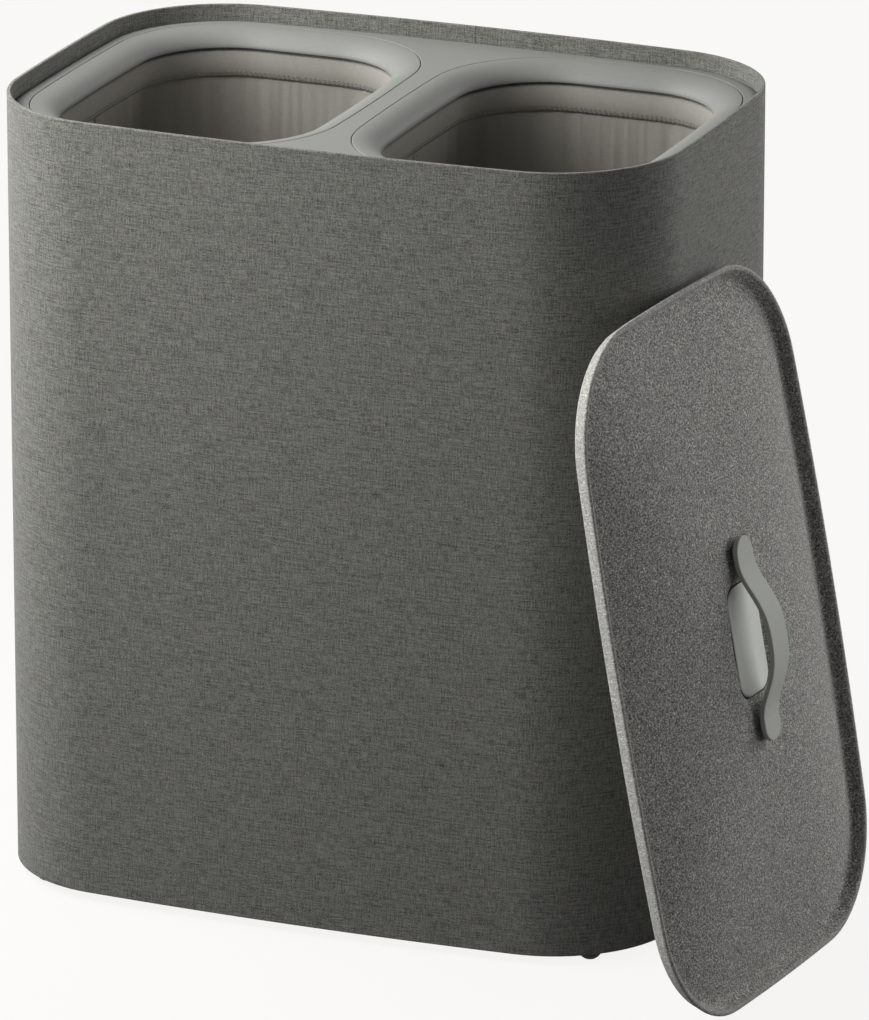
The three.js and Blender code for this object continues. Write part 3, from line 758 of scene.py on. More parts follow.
def deck_height(sizes):
    return node_top("outer_sleeve") - sizes.deck_recess


def deck_finish():
    return moulded_finish("deck_plastic", "deck", 0.56, 0.12)


def hidden_finish():
    return moulded_finish("base_plastic", "base", 0.55, 0.2)


# Sleeve, base and feet


class HAMPER_OT_sleeve(Operator):
    """Build the linen-covered sleeve with its turned edges"""

    bl_idname = "hamper.sleeve"
    bl_label = "Sleeve"

    def execute(self, context):
        sizes = context.scene.hamper_sizes
        shape = sleeve_outline(sizes)
        low, high = node_bottom("outer_sleeve"), node_top("outer_sleeve")
        wall = sizes.sleeve_wall
        corners = [(0, low), (0, high), (wall, high), (wall, low)]
        rings = [level(shape.inset(way).points(), z) for way, z in corners]
        rings = eased(rings, [SLEEVE_EDGE] * 4, loop=True, steps=5)
        piece = lofted("sleeve_wrap", rings, loop=True)
        weighted(piece)
        put(piece, BODY, linen_finish(), ["outer_sleeve"])
        return {"FINISHED"}


# Radius and height, from the floor and then from the underside of the tray
FOOT_SOLE = (
    (0.0, 0.0006), (0.0018, 0.0002), (0.0036, 0.0), (0.0047, 0.0002), (0.0055, 0.0007), (0.007, 0.0018),
    (0.0084, 0.0034),
)
FOOT_NECK = (
    (0.0093, -0.0028), (0.0098, -0.0014), (0.01, -0.0004), (0.0097, 0.0), (0.0043, 0.0), (0.004, 0.0003),
    (0.004, 0.0036), (0.0049, 0.0037), (0.0047, 0.0046), (0.0035, 0.0064), (0.0, 0.0066),
)


class HAMPER_OT_base(Operator):
    """Finish the base tray and turn the four rubber feet"""

    bl_idname = "hamper.base"
    bl_label = "Base and feet"

    def execute(self, context):
        refinish("base_tray", hidden_finish())
        top = node_bottom("base_tray") - FIT
        profile = [*FOOT_SOLE, *((radius, top + up) for radius, up in FOOT_NECK)]
        for name in ("foot_front_left", "foot_front_right", "foot_back_left", "foot_back_right"):
            middle = node_middle(name).xy
            rings = [
                level([middle + p for p in circle(48, max(radius, 1e-5))], z) for radius, z in profile
            ]
            piece = lofted(f"{name}_stud", rings, caps=(True, True))
            weighted(piece)
            put(piece, BODY, rubber_finish(), [name])
        return {"FINISHED"}


# Deck and rings


def fill_between(build, loops):
    """Fills the flat area between closed loops of vertices."""
    edges = []
    for loop in loops:
        for a, b in zip(loop, loop[1:] + loop[:1]):
            edges.append(build.edges.get((a, b)) or build.edges.new((a, b)))
    bmesh.ops.triangle_fill(build, use_beauty=True, use_dissolve=False, edges=edges)


# Reach beyond the seat and drop of the softened edge round it
SEAT_LIP = ((0.0007, 0.0), (0.00042, 0.00006), (0.0002, 0.0002), (0.00005, 0.0004))


class HAMPER_OT_deck(Operator):
    """Build the recessed deck with its shoulder, skirt and two seats"""

    bl_idname = "hamper.deck"
    bl_label = "Deck"

    def execute(self, context):
        sizes = context.scene.hamper_sizes
        shape = sleeve_outline(sizes).inset(sizes.sleeve_wall + FIT)
        top = deck_height(sizes)
        shoulder = [
            (SHOULDER_WIDTH * (1 - math.sin(turn)), top - SHOULDER_DROP * (1 - math.cos(turn)))
            for turn in quarter_turn(10)
        ]
        end = top - SHOULDER_DROP
        foot = end - SKIRT_HEIGHT
        skirt = [
            (0, foot), (SKIRT_WALL, foot), (SKIRT_WALL, end - DECK_PLATE), (SHOULDER_WIDTH, top - DECK_PLATE)
        ]
        rings = [level(shape.inset(way).points(), z) for way, z in [*shoulder, *skirt]]
        seat_z = top - RING_FLANGE - FIT
        ledge_z = seat_z - LEDGE_PLATE

        def make(build):
            outer = add_loft(build, rings)
            over, under = [outer[0]], [outer[-1]]
            for side in SIDES:
                seat = seat_outline(sizes, side)
                section = [
                    (0, top - 0.0007), (0, seat_z), (LEDGE_WIDTH, seat_z), (LEDGE_WIDTH, ledge_z),
                    (-LEDGE_WALL, ledge_z), (-LEDGE_WALL, top - DECK_PLATE),
                ]
                well = [level(seat.inset(way).points(), z) for way, z in section]
                well = eased(well, [0, 0.0003, 0.0004, 0.0004, 0.0004, 0], steps=3)
                lip = [level(seat.inset(-way).points(), top - down) for way, down in SEAT_LIP]
                made = add_loft(build, [*lip, *well])
                over.append(made[0])
                under.append(made[-1])
            fill_between(build, over)
            fill_between(build, under)
            depth = 2 * (shape.half_depth - SKIRT_WALL)
            middle = Vector((*shape.centre, top - DECK_PLATE - DECK_RIB_HEIGHT / 2))
            add_box(build, middle, (DECK_RIB_WALL, depth, DECK_RIB_HEIGHT))

        piece = new_object("deck_panel", make)
        weighted(piece)
        put(piece, BODY, deck_finish(), ["top_deck"])
        return {"FINISHED"}


def ring_face(sizes, part):
    """Height of a ring's rolled face, from 0 at its seat to 1 at its lip."""
    return deck_height(sizes) - sizes.ring_drop * (1 - (1 - min(part, 1.0) ** 2) ** 0.6)


class HAMPER_OT_rings(Operator):
    """Build the two bag rings, rolled down to thin lips"""

    bl_idname = "hamper.rings"
    bl_label = "Bag rings"

    def execute(self, context):
        sizes = context.scene.hamper_sizes
        top = deck_height(sizes)
        lip = top - sizes.ring_drop - RING_LIP
        for side in SIDES:
            seat, mouth = seat_outline(sizes, side), mouth_outline(sizes, side)
            rim, edge = seat.inset(RING_SEAM).points(), mouth.points()
            collar_z = ring_face(sizes, 0.67) - RING_WALL
            low = node_bottom(f"{side}_bag_ring")
            parts = [math.sin(turn) for turn in quarter_turn(22)[1:]]
            face = [(level(between(rim, edge, part), ring_face(sizes, part)), 0) for part in parts]
            inner = mouth.inset(-COLLAR_SETBACK).points()
            outer = mouth.inset(-COLLAR_SETBACK - COLLAR_WALL).points()
            ledge = seat.inset(LEDGE_WIDTH + FIT).points()
            under = [
                (level(edge, lip), 0.0003),
                (level(between(rim, edge, 0.93), ring_face(sizes, 0.9) - RING_WALL), 0.0006),
                (level(inner, collar_z), 0.001), (level(inner, low), 0.0005),
                (level(outer, low), 0.0005), (level(outer, collar_z), 0.001),
                (level(ledge, top - RING_FLANGE - RING_WALL / 2), 0.0005),
                (level(ledge, top - RING_FLANGE), 0.0003), (level(rim, top - RING_FLANGE), 0.0003),
                (level(rim, top), 0.0007),
            ]
            rings, radii = zip(*face, *under)
            rings = eased(rings, radii, loop=True, steps=3)
            piece = lofted(f"{side}_ring_bezel", rings, loop=True)
            weighted(piece)
            put(piece, LIFT_BODIES[side], deck_finish(), [f"{side}_bag_ring"])
        return {"FINISHED"}


class HAMPER_OT_hoops(Operator):
    """Finish the hoops in the hems and the boards in the floors of the bags"""

    bl_idname = "hamper.hoops"
    bl_label = "Hoops and boards"

    def execute(self, context):
        for side in SIDES:
            refinish(f"{side}_bag_hoop", hidden_finish(), 0.0005)
            refinish(f"{side}_bag_board", moulded_finish("board_plastic", "board", 0.7, 0.3), 0.0006)
        return {"FINISHED"}


# Seams

THREAD = 0.0007
THREAD_SECTION = circle(6)
THREAD_FLATNESS = 0.7
# Share of a stitch's length, swell of the thread and lift above the cloth
STITCH = ((0.0, 0.35, -0.5), (0.14, 0.85, 0.15), (0.5, 1.0, 0.45), (0.86, 0.85, 0.15), (1.0, 0.35, -0.5))
STITCH_SHARE = 0.68


def add_stitch(build, start, end, outward):
    """One thread pulled flat between two needle holes, with rounded shoulders."""
    run = end - start
    across = run.normalized().cross(outward).normalized()
    rings = []
    for part, swell, lift in STITCH:
        middle = start + run * part + outward * THREAD * lift
        rings.append([
            middle + (across * p.x + outward * THREAD_FLATNESS * p.y) * THREAD / 2 * swell
            for p in THREAD_SECTION
        ])
    add_loft(build, rings, caps=(True, True))


def add_stitches(build, points, outwards, pitch):
    """Stitches of even pitch along a line of points."""
    passed, start = 0.0, None
    due = pitch * (1 - STITCH_SHARE) / 2
    for (a, b), out in zip(zip(points, points[1:]), outwards):
        span = (b - a).length
        while due <= passed + span:
            spot = a.lerp(b, (due - passed) / max(span, 1e-9))
            if start is None:
                start, due = spot, due + pitch * STITCH_SHARE
            else:
                add_stitch(build, start, spot, out)
                start, due = None, due + pitch * (1 - STITCH_SHARE)
        passed += span


# Bags

BAG_ROWS = 66
# Height, from 0 at a bag's floor to 1 at its hem, and share of the full swell
SWELL = ((0.0, 0.3), (0.1, 0.68), (0.25, 0.9), (0.5, 1.0), (0.7, 1.0), (0.86, 0.82), (0.94, 0.6), (1.0, 0.0))
# Reach beyond the mouth and height of the hem, its flap from the hoop's underside and its fold from the top
HEM_FLAP = ((0.0052, -0.008), (0.0034, -0.004), (0.002, 0.0005))
HEM_FOLD = (
    (0.002, -0.0011), (0.0027, -0.0003), (0.0045, 0.0), (BAG_WALL - 0.0007, -0.0003), (BAG_WALL, -0.0011),
)
HEM_END = 0.008
FLOOR_RINGS = (0.12, 0.3, 0.5, 0.7, 0.88, 0.985)
# The folds are read from fixed noise, at a place of its own for each bag
FOLD_PLACES = {"left": 11.0, "right": 47.0}
FOLDS_ACROSS, FOLDS_DOWN = 11.0, 2.6
CREASES_ACROSS, CREASES_DOWN = 7.0, 1.4
# Height over which the folds fade towards the floor
CALM_FOOT = 0.04
CLOTH = {
    "vertex_group_mass": "held", "quality": 6, "mass": 0.04, "tension_stiffness": 25,
    "compression_stiffness": 25, "shear_stiffness": 8, "bending_stiffness": 0.12, "shrink_min": -0.02,
    "air_damping": 1.5,
}
# How far the simulation may move the fabric outward, inward and along itself
OUT_LIMIT, IN_LIMIT, SLIDE_LIMIT = 0.0009, 0.016, 0.012
# The flat cut of a bag: its way round against half of its mouth's sizes, what hem, corners and floor take,
# and the share of the rectangle that becomes fabric
CUT_AROUND, CUT_ENDS, CUT_SHARE = 3.84, 0.3, 0.77
# Reach and height of the two rows of hem stitches, from the mouth and the hoop's underside
HEM_STITCHES = ((0.0031, -0.0032), (0.0043, -0.0062))
# Place across a side tape, as a share of half its width, of its stitches and, with a lift, of its section
SEAM_STITCHES = 0.62
TAPE_SECTION = ((-1.0, 0.0), (-1.0, 0.0005), (-0.9, 0.0008), (0.9, 0.0008), (1.0, 0.0005), (1.0, 0.0))
PIPING = circle(8, 0.0011)


def swell(part):
    """Share of a bag's swell at a height between 0, its floor, and 1, its hem."""
    for (a, first), (b, second) in zip(SWELL, SWELL[1:]):
        if part <= b:
            t = max(0.0, (part - a) / (b - a))
            t = t * t * (3 - 2 * t) * 0.5 + t * 0.5
            return first + (second - first) * t
    return SWELL[-1][1]


def bag_reach(sizes, z, low, high):
    """How far the middle of a bag's wall stands outside its mouth at height z."""
    return BAG_WALL + sizes.bag_swell * swell((z - low) / (high - low))


def bag_levels(sizes, side):
    """Reach and height of a bag's fabric from the hem's flap to the floor, and its first free row."""
    top = node_top(f"{side}_bag") - FABRIC / 2
    hoop = node_bottom(f"{side}_bag_hoop")
    neck = node_bottom(f"{side}_bag_ring") - FIT
    low = node_bottom(f"{side}_bag") + FABRIC / 2 + sizes.bag_round
    hem = [(reach, hoop + up) for reach, up in HEM_FLAP] + [(reach, top + up) for reach, up in HEM_FOLD]
    hem.append((BAG_WALL, neck + HEM_END))
    run = [neck - (neck - low) * i / BAG_ROWS for i in range(BAG_ROWS + 1)]
    walls = [(bag_reach(sizes, z, low, neck), z) for z in run]
    foot = bag_reach(sizes, low, low, neck)
    corner = [
        (foot - sizes.bag_round * (1 - math.cos(turn)), low - sizes.bag_round * math.sin(turn))
        for turn in quarter_turn(6)[1:]
    ]
    return [*hem, *walls, *corner], len(hem)


def fold_inward(sizes, point, outward, side, high, low):
    """Soft folds that run down a bag and deepen towards its foot."""
    part = min(1.0, max(0.0, (high - point.z) / (high - low)))
    depth = 0.18 + 0.82 * part ** 1.3
    foot = min(1.0, max(0.0, (point.z - low) / CALM_FOOT))
    start = FOLD_PLACES[side]
    where = Vector((point.x * FOLDS_ACROSS + start, point.y * FOLDS_ACROSS, point.z * FOLDS_DOWN))
    soft = noise.fractal(where, 1.0, 2.0, 3)
    crossed = Vector((point.x * CREASES_ACROSS - start, point.y * CREASES_ACROSS, point.z * CREASES_DOWN))
    crease = 1.0 - abs(noise.noise(crossed + where * 0.2)) * 2
    amount = 0.5 * (soft + 0.6) + 0.5 * max(0.0, crease) ** 3
    return -outward * sizes.bag_fold * depth * (0.25 + 0.75 * foot) * max(0.0, amount)


def settle(piece, pinned, frames):
    """Lets the fabric sink and buckle between its pinned rows, and returns where its points end."""
    piece.vertex_groups.new(name="held").add(pinned, 1.0, "REPLACE")
    cloth = piece.modifiers.new("Settle", "CLOTH")
    for key, value in CLOTH.items():
        setattr(cloth.settings, key, value)
    cloth.collision_settings.use_collision = False
    cloth.point_cache.frame_start = 1
    cloth.point_cache.frame_end = frames
    scene = bpy.context.scene
    for step in range(1, frames + 1):
        scene.frame_set(step)
    seen = piece.evaluated_get(bpy.context.evaluated_depsgraph_get())
    settled = [v.co.copy() for v in seen.data.vertices]
    piece.modifiers.remove(cloth)
    scene.frame_set(1)
    return settled


def held_in(rest, moved, outward):
    """A settled point that keeps within the room round its first place."""
    step = moved - rest
    reach = step.dot(outward)
    slide = step - outward * reach
    limit = OUT_LIMIT if reach > 0 else IN_LIMIT
    pushed = rest + outward * limit * math.tanh(reach / limit)
    return pushed + slide * min(1.0, SLIDE_LIMIT / max(slide.length, 1e-9))


class HAMPER_OT_bags(Operator):
    """Build the two fabric bags with their hems, folds, seams and stitches"""

    bl_idname = "hamper.bags"
    bl_label = "Bags"

    def execute(self, context):
        sizes = context.scene.hamper_sizes
        for side in SIDES:
            self.build_bag(sizes, side)
        return {"FINISHED"}

    def build_bag(self, sizes, side):
        mouth = mouth_outline(sizes, side)
        levels, first_free = bag_levels(sizes, side)
        rings = [level(mouth.inset(-reach).points(), z) for reach, z in levels]
        count = len(rings[0])
        centre = Vector((*mouth.centre, levels[-1][1]))
        floor = [between(rings[-1], [centre] * count, part) for part in FLOOR_RINGS]
        high, low = levels[first_free][1], levels[-1][1] + sizes.bag_round
        piece = lofted(f"{side}_bag_cloth", [*rings, *floor], caps=(False, True))
        points = piece.data.vertices
        rest = [v.co.copy() for v in points]
        outward = [way_out(mouth.centre, p) for p in rest]
        free = range(first_free * count, len(rings) * count)
        for i in free:
            points[i].co = rest[i] + fold_inward(sizes, rest[i], outward[i], side, high, low)
        pinned = [*range((first_free + 1) * count), *range((len(rings) - 2) * count, len(rest))]
        settled = settle(piece, pinned, sizes.simulation_frames)
        for i in free:
            points[i].co = held_in(points[i].co.copy(), settled[i], outward[i])
        piece.data.update()
        self.sew_bag(sizes, side, mouth, first_free, [v.co.copy() for v in points], count)
        add_modifier(piece, "SOLIDIFY", thickness=FABRIC * 0.8, offset=0.0)
        put(piece, LIFT_BODIES[side], bag_finish(), [f"{side}_bag"])
        around = CUT_AROUND * (mouth.half_width + mouth.half_depth)
        drop = high - low + CUT_ENDS
        CUT_SHARE * around * drop

    def sew_bag(self, sizes, side, mouth, first_free, spots, count):
        """Hem stitches, taped side seams and piping round the floor, laid inside the settled fabric."""
        hoop = node_bottom(f"{side}_bag_hoop")
        skin = FABRIC / 2
        last = first_free + BAG_ROWS
        rows = range(first_free, last + 1)
        side_seams = (count // 4, 3 * (count // 4))
        tape = sizes.seam_tape / 2

        def spot(k, col):
            return spots[k * count + col % count]

        def inside(col, k, lift):
            """A place inside the fabric, the way inward there and the way round."""
            around = spot(k, col + 1) - spot(k, col - 1)
            down = spot(min(k + 1, last), col) - spot(max(k - 1, first_free), col)
            inward = around.cross(down).normalized()
            if inward.dot(way_out(mouth.centre, spot(k, col))) > 0:
                inward = -inward
            return spot(k, col) + inward * (skin + lift), inward, around.normalized()

        def hem(build):
            for way, up in HEM_STITCHES:
                ring = level(mouth.inset(skin - way).points(), hoop + up)
                ring.append(ring[0])
                inward = [-way_out(mouth.centre, p) for p in ring]
                add_stitches(build, ring, inward, sizes.stitch_pitch)

        def seams(build):
            for col in side_seams:
                line = [inside(col, k, 0.0001) for k in rows]
                rings = [
                    [here + around * tape * part + inward * lift for part, lift in TAPE_SECTION]
                    for here, inward, around in line
                ]
                add_loft(build, rings, caps=(True, True))

        def threads(build):
            for col in side_seams:
                line = [inside(col, k, 0.0009) for k in rows]
                for part in (-SEAM_STITCHES, SEAM_STITCHES):
                    points = [here + around * tape * part for here, inward, around in line]
                    add_stitches(build, points, [inward for here, inward, around in line], sizes.stitch_pitch)

        def piping(build):
            rings = []
            for col in range(count):
                here, inward, around = inside(col, last, 0.0006)
                up = inward.cross(around).normalized()
                rings.append([here + inward * p.x + up * p.y for p in PIPING])
            add_loft(build, rings, loop=True)

        thread = stitch_finish("bag_thread", "bag", 0.7)
        for name, maker, finish in (
            ("hem_stitches", hem, thread), ("seam_tapes", seams, bag_finish()),
            ("seam_stitches", threads, thread), ("floor_piping", piping, bag_finish()),
        ):
            put(new_object(f"{side}_{name}", maker), LIFT_BODIES[side], finish)


# Radius of a strap's turns, half of its thickness and its gap from the bag
STRAP_TURN, STRAP_HALF, STRAP_GAP = 0.028, 0.0007, 0.0008
STRAP_EDGE = 0.0006
# Corners that a box stitch runs through, from its middle
BOX_STITCH = ((-1, -1), (1, -1), (1, 1), (-1, 1), (-1, -1), (1, 1), (-1, 1), (1, -1))


class HAMPER_OT_straps(Operator):
    """Sew the carry webbing to the front and back of each bag"""

    bl_idname = "hamper.straps"
    bl_label = "Carry straps"

    def execute(self, context):
        sizes = context.scene.hamper_sizes
        for side in SIDES:
            for way, end in ((-1, "front"), (1, "back")):
                self.build_strap(sizes, side, way, end)
        return {"FINISHED"}

    def build_strap(self, sizes, side, way, end):
        node = f"{side}_bag_handle_{end}"
        mouth = mouth_outline(sizes, side)
        top, low = node_top(node), node_bottom(f"{side}_bag") + sizes.bag_round
        half = (sizes.strap_span - sizes.strap_width) / 2
        foot = top - sizes.strap_hang + sizes.strap_width / 2
        inner, bend = half - STRAP_TURN, foot + STRAP_TURN
        path = [
            *(Vector((-half, top - (top - bend) * i / 14)) for i in range(14)),
            *arc(Vector((-inner, bend)), STRAP_TURN, math.pi, 1.5 * math.pi, 12),
            *(Vector((inner * 2 * i / 6 - inner, foot)) for i in range(6)),
            *arc(Vector((inner, bend)), STRAP_TURN, 1.5 * math.pi, math.tau, 12),
            *(Vector((half, bend + (top - bend) * i / 14)) for i in range(15)),
        ]
        wide, thick = sizes.strap_width / 2, STRAP_HALF
        upper = [
            (-wide, thick * 0.6), (STRAP_EDGE - wide, thick), (wide - STRAP_EDGE, thick), (wide, thick * 0.6),
        ]
        section = [*((offset, -lift) for offset, lift in upper), *reversed(upper)]

        def laid(flat, lift):
            """A place on the strap, wrapped round the outside of the bag."""
            z = min(flat.y, top)
            reach = bag_reach(sizes, z, low, top) + FABRIC / 2 + FIT + STRAP_GAP + lift
            x = flat.x + mouth.centre.x
            return Vector((x, mouth.centre.y + way * mouth.inset(-reach).front_y(x), z))

        rings = []
        for i, spot in enumerate(path):
            ahead, behind = path[min(i + 1, len(path) - 1)], path[max(i - 1, 0)]
            run = (ahead - behind).normalized()
            across = Vector((run.y, -run.x))
            rings.append([laid(spot + across * offset, lift) for offset, lift in section])
        piece = lofted(f"{node}_web", rings, caps=(True, True))
        put(piece, LIFT_BODIES[side], strap_finish(), [node])

        def boxes(build):
            reach = wide - 0.003
            for leg in (-half, half):
                corners = [Vector((leg + x * reach, top - 0.004 - reach + z * reach)) for x, z in BOX_STITCH]
                line = [a.lerp(b, i / 12) for a, b in zip(corners, corners[1:]) for i in range(12)]
                points = [laid(flat, thick + 0.0001) for flat in line]
                add_stitches(build, points, [Vector((0, way, 0))] * len(points), sizes.stitch_pitch * 0.7)

        thread = stitch_finish("strap_thread", "strap", 1.9)
        put(new_object(f"{node}_box_stitches", boxes), LIFT_BODIES[side], thread)


# Lid

# Gap to the sleeve's wall when the lid lies on the deck
LID_GAP = 0.0024
# Distance inside the lid's outline and height, from the crease over the rim to the underside
RIM_PROFILE = (
    (0.0105, 0.0038), (0.0098, 0.0042), (0.0090, 0.0049), (0.0083, 0.0060), (0.0077, 0.0073),
    (0.0069, 0.0088), (0.0058, 0.0106), (0.0047, 0.0123), (0.0040, 0.0131), (0.0031, 0.0136),
    (0.0021, 0.0137), (0.0011, 0.0135), (0.0004, 0.0130), (0.0001, 0.0123), (0.0004, 0.0112),
    (0.0019, 0.0086), (0.0035, 0.0058), (0.0046, 0.0036), (0.0055, 0.0021), (0.0066, 0.0009),
    (0.0080, 0.0002), (0.0100, 0.0001),
)
# Point of the rim's profile from which its outside carries painted light
RIM_PAINTED_LIGHT_FROM = 8
# The finger plate: how much longer and wider than the pad its flange is, and the flange's corner radius
FLANGE_LENGTH, FLANGE_WIDTH, FLANGE_CORNER = 0.104, 0.034, 0.032
PLATE, GROOVE_DEPTH = 0.0026, 0.0021
PAD_HOLLOW = (0.02, 0.15, 0.3, 0.45, 0.58, 0.68, 0.76, 0.82, 0.86, 0.9)
PAD_EDGE = ((0.95, 0.0), (0.982, 0.0001), (0.995, 0.0004), (1.0, 0.0009))
PLATE_BACK = (0.985, 0.9, 0.75, 0.6, 0.45, 0.3, 0.15, 0.02)
HANDLE_EDGE = 0.0012


def lid_matrix(sizes):
    outward = Vector((math.cos(sizes.lid_yaw), -math.sin(sizes.lid_yaw), 0))
    upward = Vector((0, 0, 1))
    along = upward * math.cos(sizes.lid_lean) - outward * math.sin(sizes.lid_lean)
    face = outward * math.cos(sizes.lid_lean) + upward * math.sin(sizes.lid_lean)
    across = face.cross(along)
    made = Matrix((along, across, face)).transposed().to_4x4()
    made.translation = Vector(sizes.lid_place)
    return made


class Dome:
    """The lid's domed floor: its height at any place inside the crease."""

    POWER = 2.2

    def __init__(self, outline, rise):
        self.rise = rise
        spots = outline.points()
        self.table = sorted((math.atan2(p.y, p.x), p.length) for p in spots)

    def reach(self, turn):
        table = self.table
        low, high = 0, len(table) - 1
        if turn <= table[0][0] or turn >= table[-1][0]:
            return (table[0][1] + table[-1][1]) / 2
        while high - low > 1:
            middle = (low + high) // 2
            if table[middle][0] > turn:
                high = middle
            else:
                low = middle
        (a, first), (b, second) = table[low], table[high]
        return first + (second - first) * (turn - a) / max(b - a, 1e-9)

    def height(self, x, y):
        away = math.hypot(x, y)
        if away < 1e-9:
            return self.rise
        part = min(1.0, away / self.reach(math.atan2(y, x)))
        return self.rise * (1 - part ** self.POWER)


def lid_outline(sizes):
    shape = sleeve_outline(sizes).inset(sizes.sleeve_wall + LID_GAP)
    shape.centre = Vector((0, 0))
    return shape


def lid_dome(sizes):
    return Dome(lid_outline(sizes).inset(sizes.lid_flare + sizes.lid_felt), sizes.lid_rise)


def rounded_box(size_x, size_y, radius):
    """Points round a rectangle with round corners about the origin."""
    x, y = size_x / 2 - radius, size_y / 2 - radius
    made = []
    for i, corner in enumerate((Vector((x, y)), Vector((-x, y)), Vector((-x, -y)), Vector((x, -y)))):
        end = math.pi / 2 * (i + 1)
        made += arc(corner, radius, math.pi / 2 * i, end, 10)
        made.append(corner + radius * Vector((math.cos(end), math.sin(end))))
    return made


def matched(points, turns):
    """A closed outline's points at the given turns about the origin."""
    made = []
    spots = sorted((math.atan2(p.y, p.x) % math.tau, p) for p in points)
    spots = [(spots[-1][0] - math.tau, spots[-1][1]), *spots, (spots[0][0] + math.tau, spots[0][1])]
    for turn in turns:
        turn %= math.tau
        k = next(i for i in range(len(spots) - 1) if spots[i][0] <= turn <= spots[i + 1][0])
        (_, a), (_, b) = spots[k], spots[k + 1]
        ray = Vector((math.cos(turn), math.sin(turn)))
        edge = b - a
        bottom = ray.x * edge.y - ray.y * edge.x
        if abs(bottom) < 1e-12:
            made.append(a.copy())
        else:
            made.append(ray * ((a.x * edge.y - a.y * edge.x) / bottom))
    return made


def pad_outline(sizes, turns, gap=0.0):
    """The pad's outline, or one that lies a gap outside it, at the given turns."""
    box = rounded_box(sizes.pad_length + 2 * gap, sizes.pad_width + 2 * gap, sizes.pad_corner + gap)
    return matched(box, turns)


class HAMPER_OT_lid_felt(Operator):
    """Press the felt lid: a domed floor, a crease and a flared rim with a soft edge"""

    bl_idname = "hamper.lid_felt"
    bl_label = "Lid felt"

    def execute(self, context):
        sizes = context.scene.hamper_sizes
        shape, dome = lid_outline(sizes), lid_dome(sizes)
        felt, edge = sizes.lid_felt, sizes.pressed_edge
        crease = shape.inset(sizes.lid_flare + felt).points()
        hole = pad_outline(sizes, [math.atan2(p.y, p.x) for p in crease], sizes.pad_slit)

        def floor_ring(lift, part=0.0, way=None):
            """A ring of the floor, at a part of the way from the hole to the crease or a fixed way out."""
            made = []
            for a, b in zip(hole, crease):
                span = (b - a).length
                p = a.lerp(b, part if way is None else way / span)
                away = part * span if way is None else way
                press = max(0.0, 1 - away / edge) if lift else 0.0
                thin = (felt - sizes.pressed_felt) * press * press * (3 - 2 * press)
                made.append(Vector((p.x, p.y, dome.height(p.x, p.y) + lift - thin)))
            return made

        ways = [edge * k / 8 for k in (0, 0.3, 1, 2, 3, 4, 5, 6, 7, 8)]
        parts = [0.08 + 0.92 * (i / 38) for i in range(39)]
        above = [floor_ring(felt, way=way) for way in ways] + [floor_ring(felt, part) for part in parts]
        below = [floor_ring(0.0, part) for part in reversed(parts)]
        below += [floor_ring(0.0, way=way) for way in (edge, 0.0)]
        raised = sizes.lid_rim / max(up for way, up in RIM_PROFILE)
        turned_up = [level(shape.inset(way).points(), up * raised) for way, up in RIM_PROFILE]
        # Where the painted light on the outside of the rim starts and ends
        rim = (travelled([*above, *turned_up[:RIM_PAINTED_LIGHT_FROM]]), travelled([*above, *turned_up]))
        rings = [*above, *turned_up, *below]
        piece = lofted("lid_felt_shell", rings, loop=True)
        put(piece, LID, felt_finish(*rim), ["lid_felt"], lid_matrix(sizes))
        return {"FINISHED"}


class HAMPER_OT_lid_plate(Operator):
    """Mould the finger plate: a flange under the felt and a dished pad in its opening"""

    bl_idname = "hamper.lid_plate"
    bl_label = "Finger plate"

    def execute(self, context):
        sizes = context.scene.hamper_sizes
        dome = lid_dome(sizes)
        turns = [math.tau * i / 160 for i in range(160)]
        pad = pad_outline(sizes, turns)
        groove = pad_outline(sizes, turns, sizes.pad_slit + FIT)
        reach = (sizes.pad_length + FLANGE_LENGTH, sizes.pad_width + FLANGE_WIDTH)
        flange = matched(rounded_box(*reach, FLANGE_CORNER), turns)
        top = sizes.lid_rise + sizes.lid_felt - sizes.pad_drop

        def at(part, z):
            return [Vector((p.x * part, p.y * part, z)) for p in pad]

        def follow(points, part, lift):
            spots = [p * part for p in points]
            return [Vector((p.x, p.y, dome.height(p.x, p.y) + lift)) for p in spots]

        depths = [sizes.pad_dish * (1 - (part / PAD_HOLLOW[-1]) ** 2) ** 1.5 for part in PAD_HOLLOW]
        rings = [at(part, top - depth) for part, depth in zip(PAD_HOLLOW, depths)]
        rings += [at(part, top - down) for part, down in PAD_EDGE]
        edge = len(rings)
        bottom = -FIT - GROOVE_DEPTH
        rings += [follow(pad, 1.0, bottom), follow(groove, 1.0, bottom), follow(groove, 1.0, -FIT)]
        # Start and end of the painted shade in the slit, before the back
        joint = (travelled(rings[:edge]), travelled(rings))
        rings += [follow(flange, part, -FIT) for part in (0.8, 0.9, 0.985)]
        rings.append(follow(flange, 1.0, -FIT - PLATE / 2))
        rings += [follow(flange, part, -FIT - PLATE) for part in PLATE_BACK]
        piece = lofted("lid_finger_pad", rings, caps=(True, True))
        weighted(piece)
        finish = moulded_finish("pad_plastic", "pad", 0.58, 0.1, 0.3, joint)
        put(piece, LID, finish, ["lid_finger_plate"], lid_matrix(sizes))
        return {"FINISHED"}


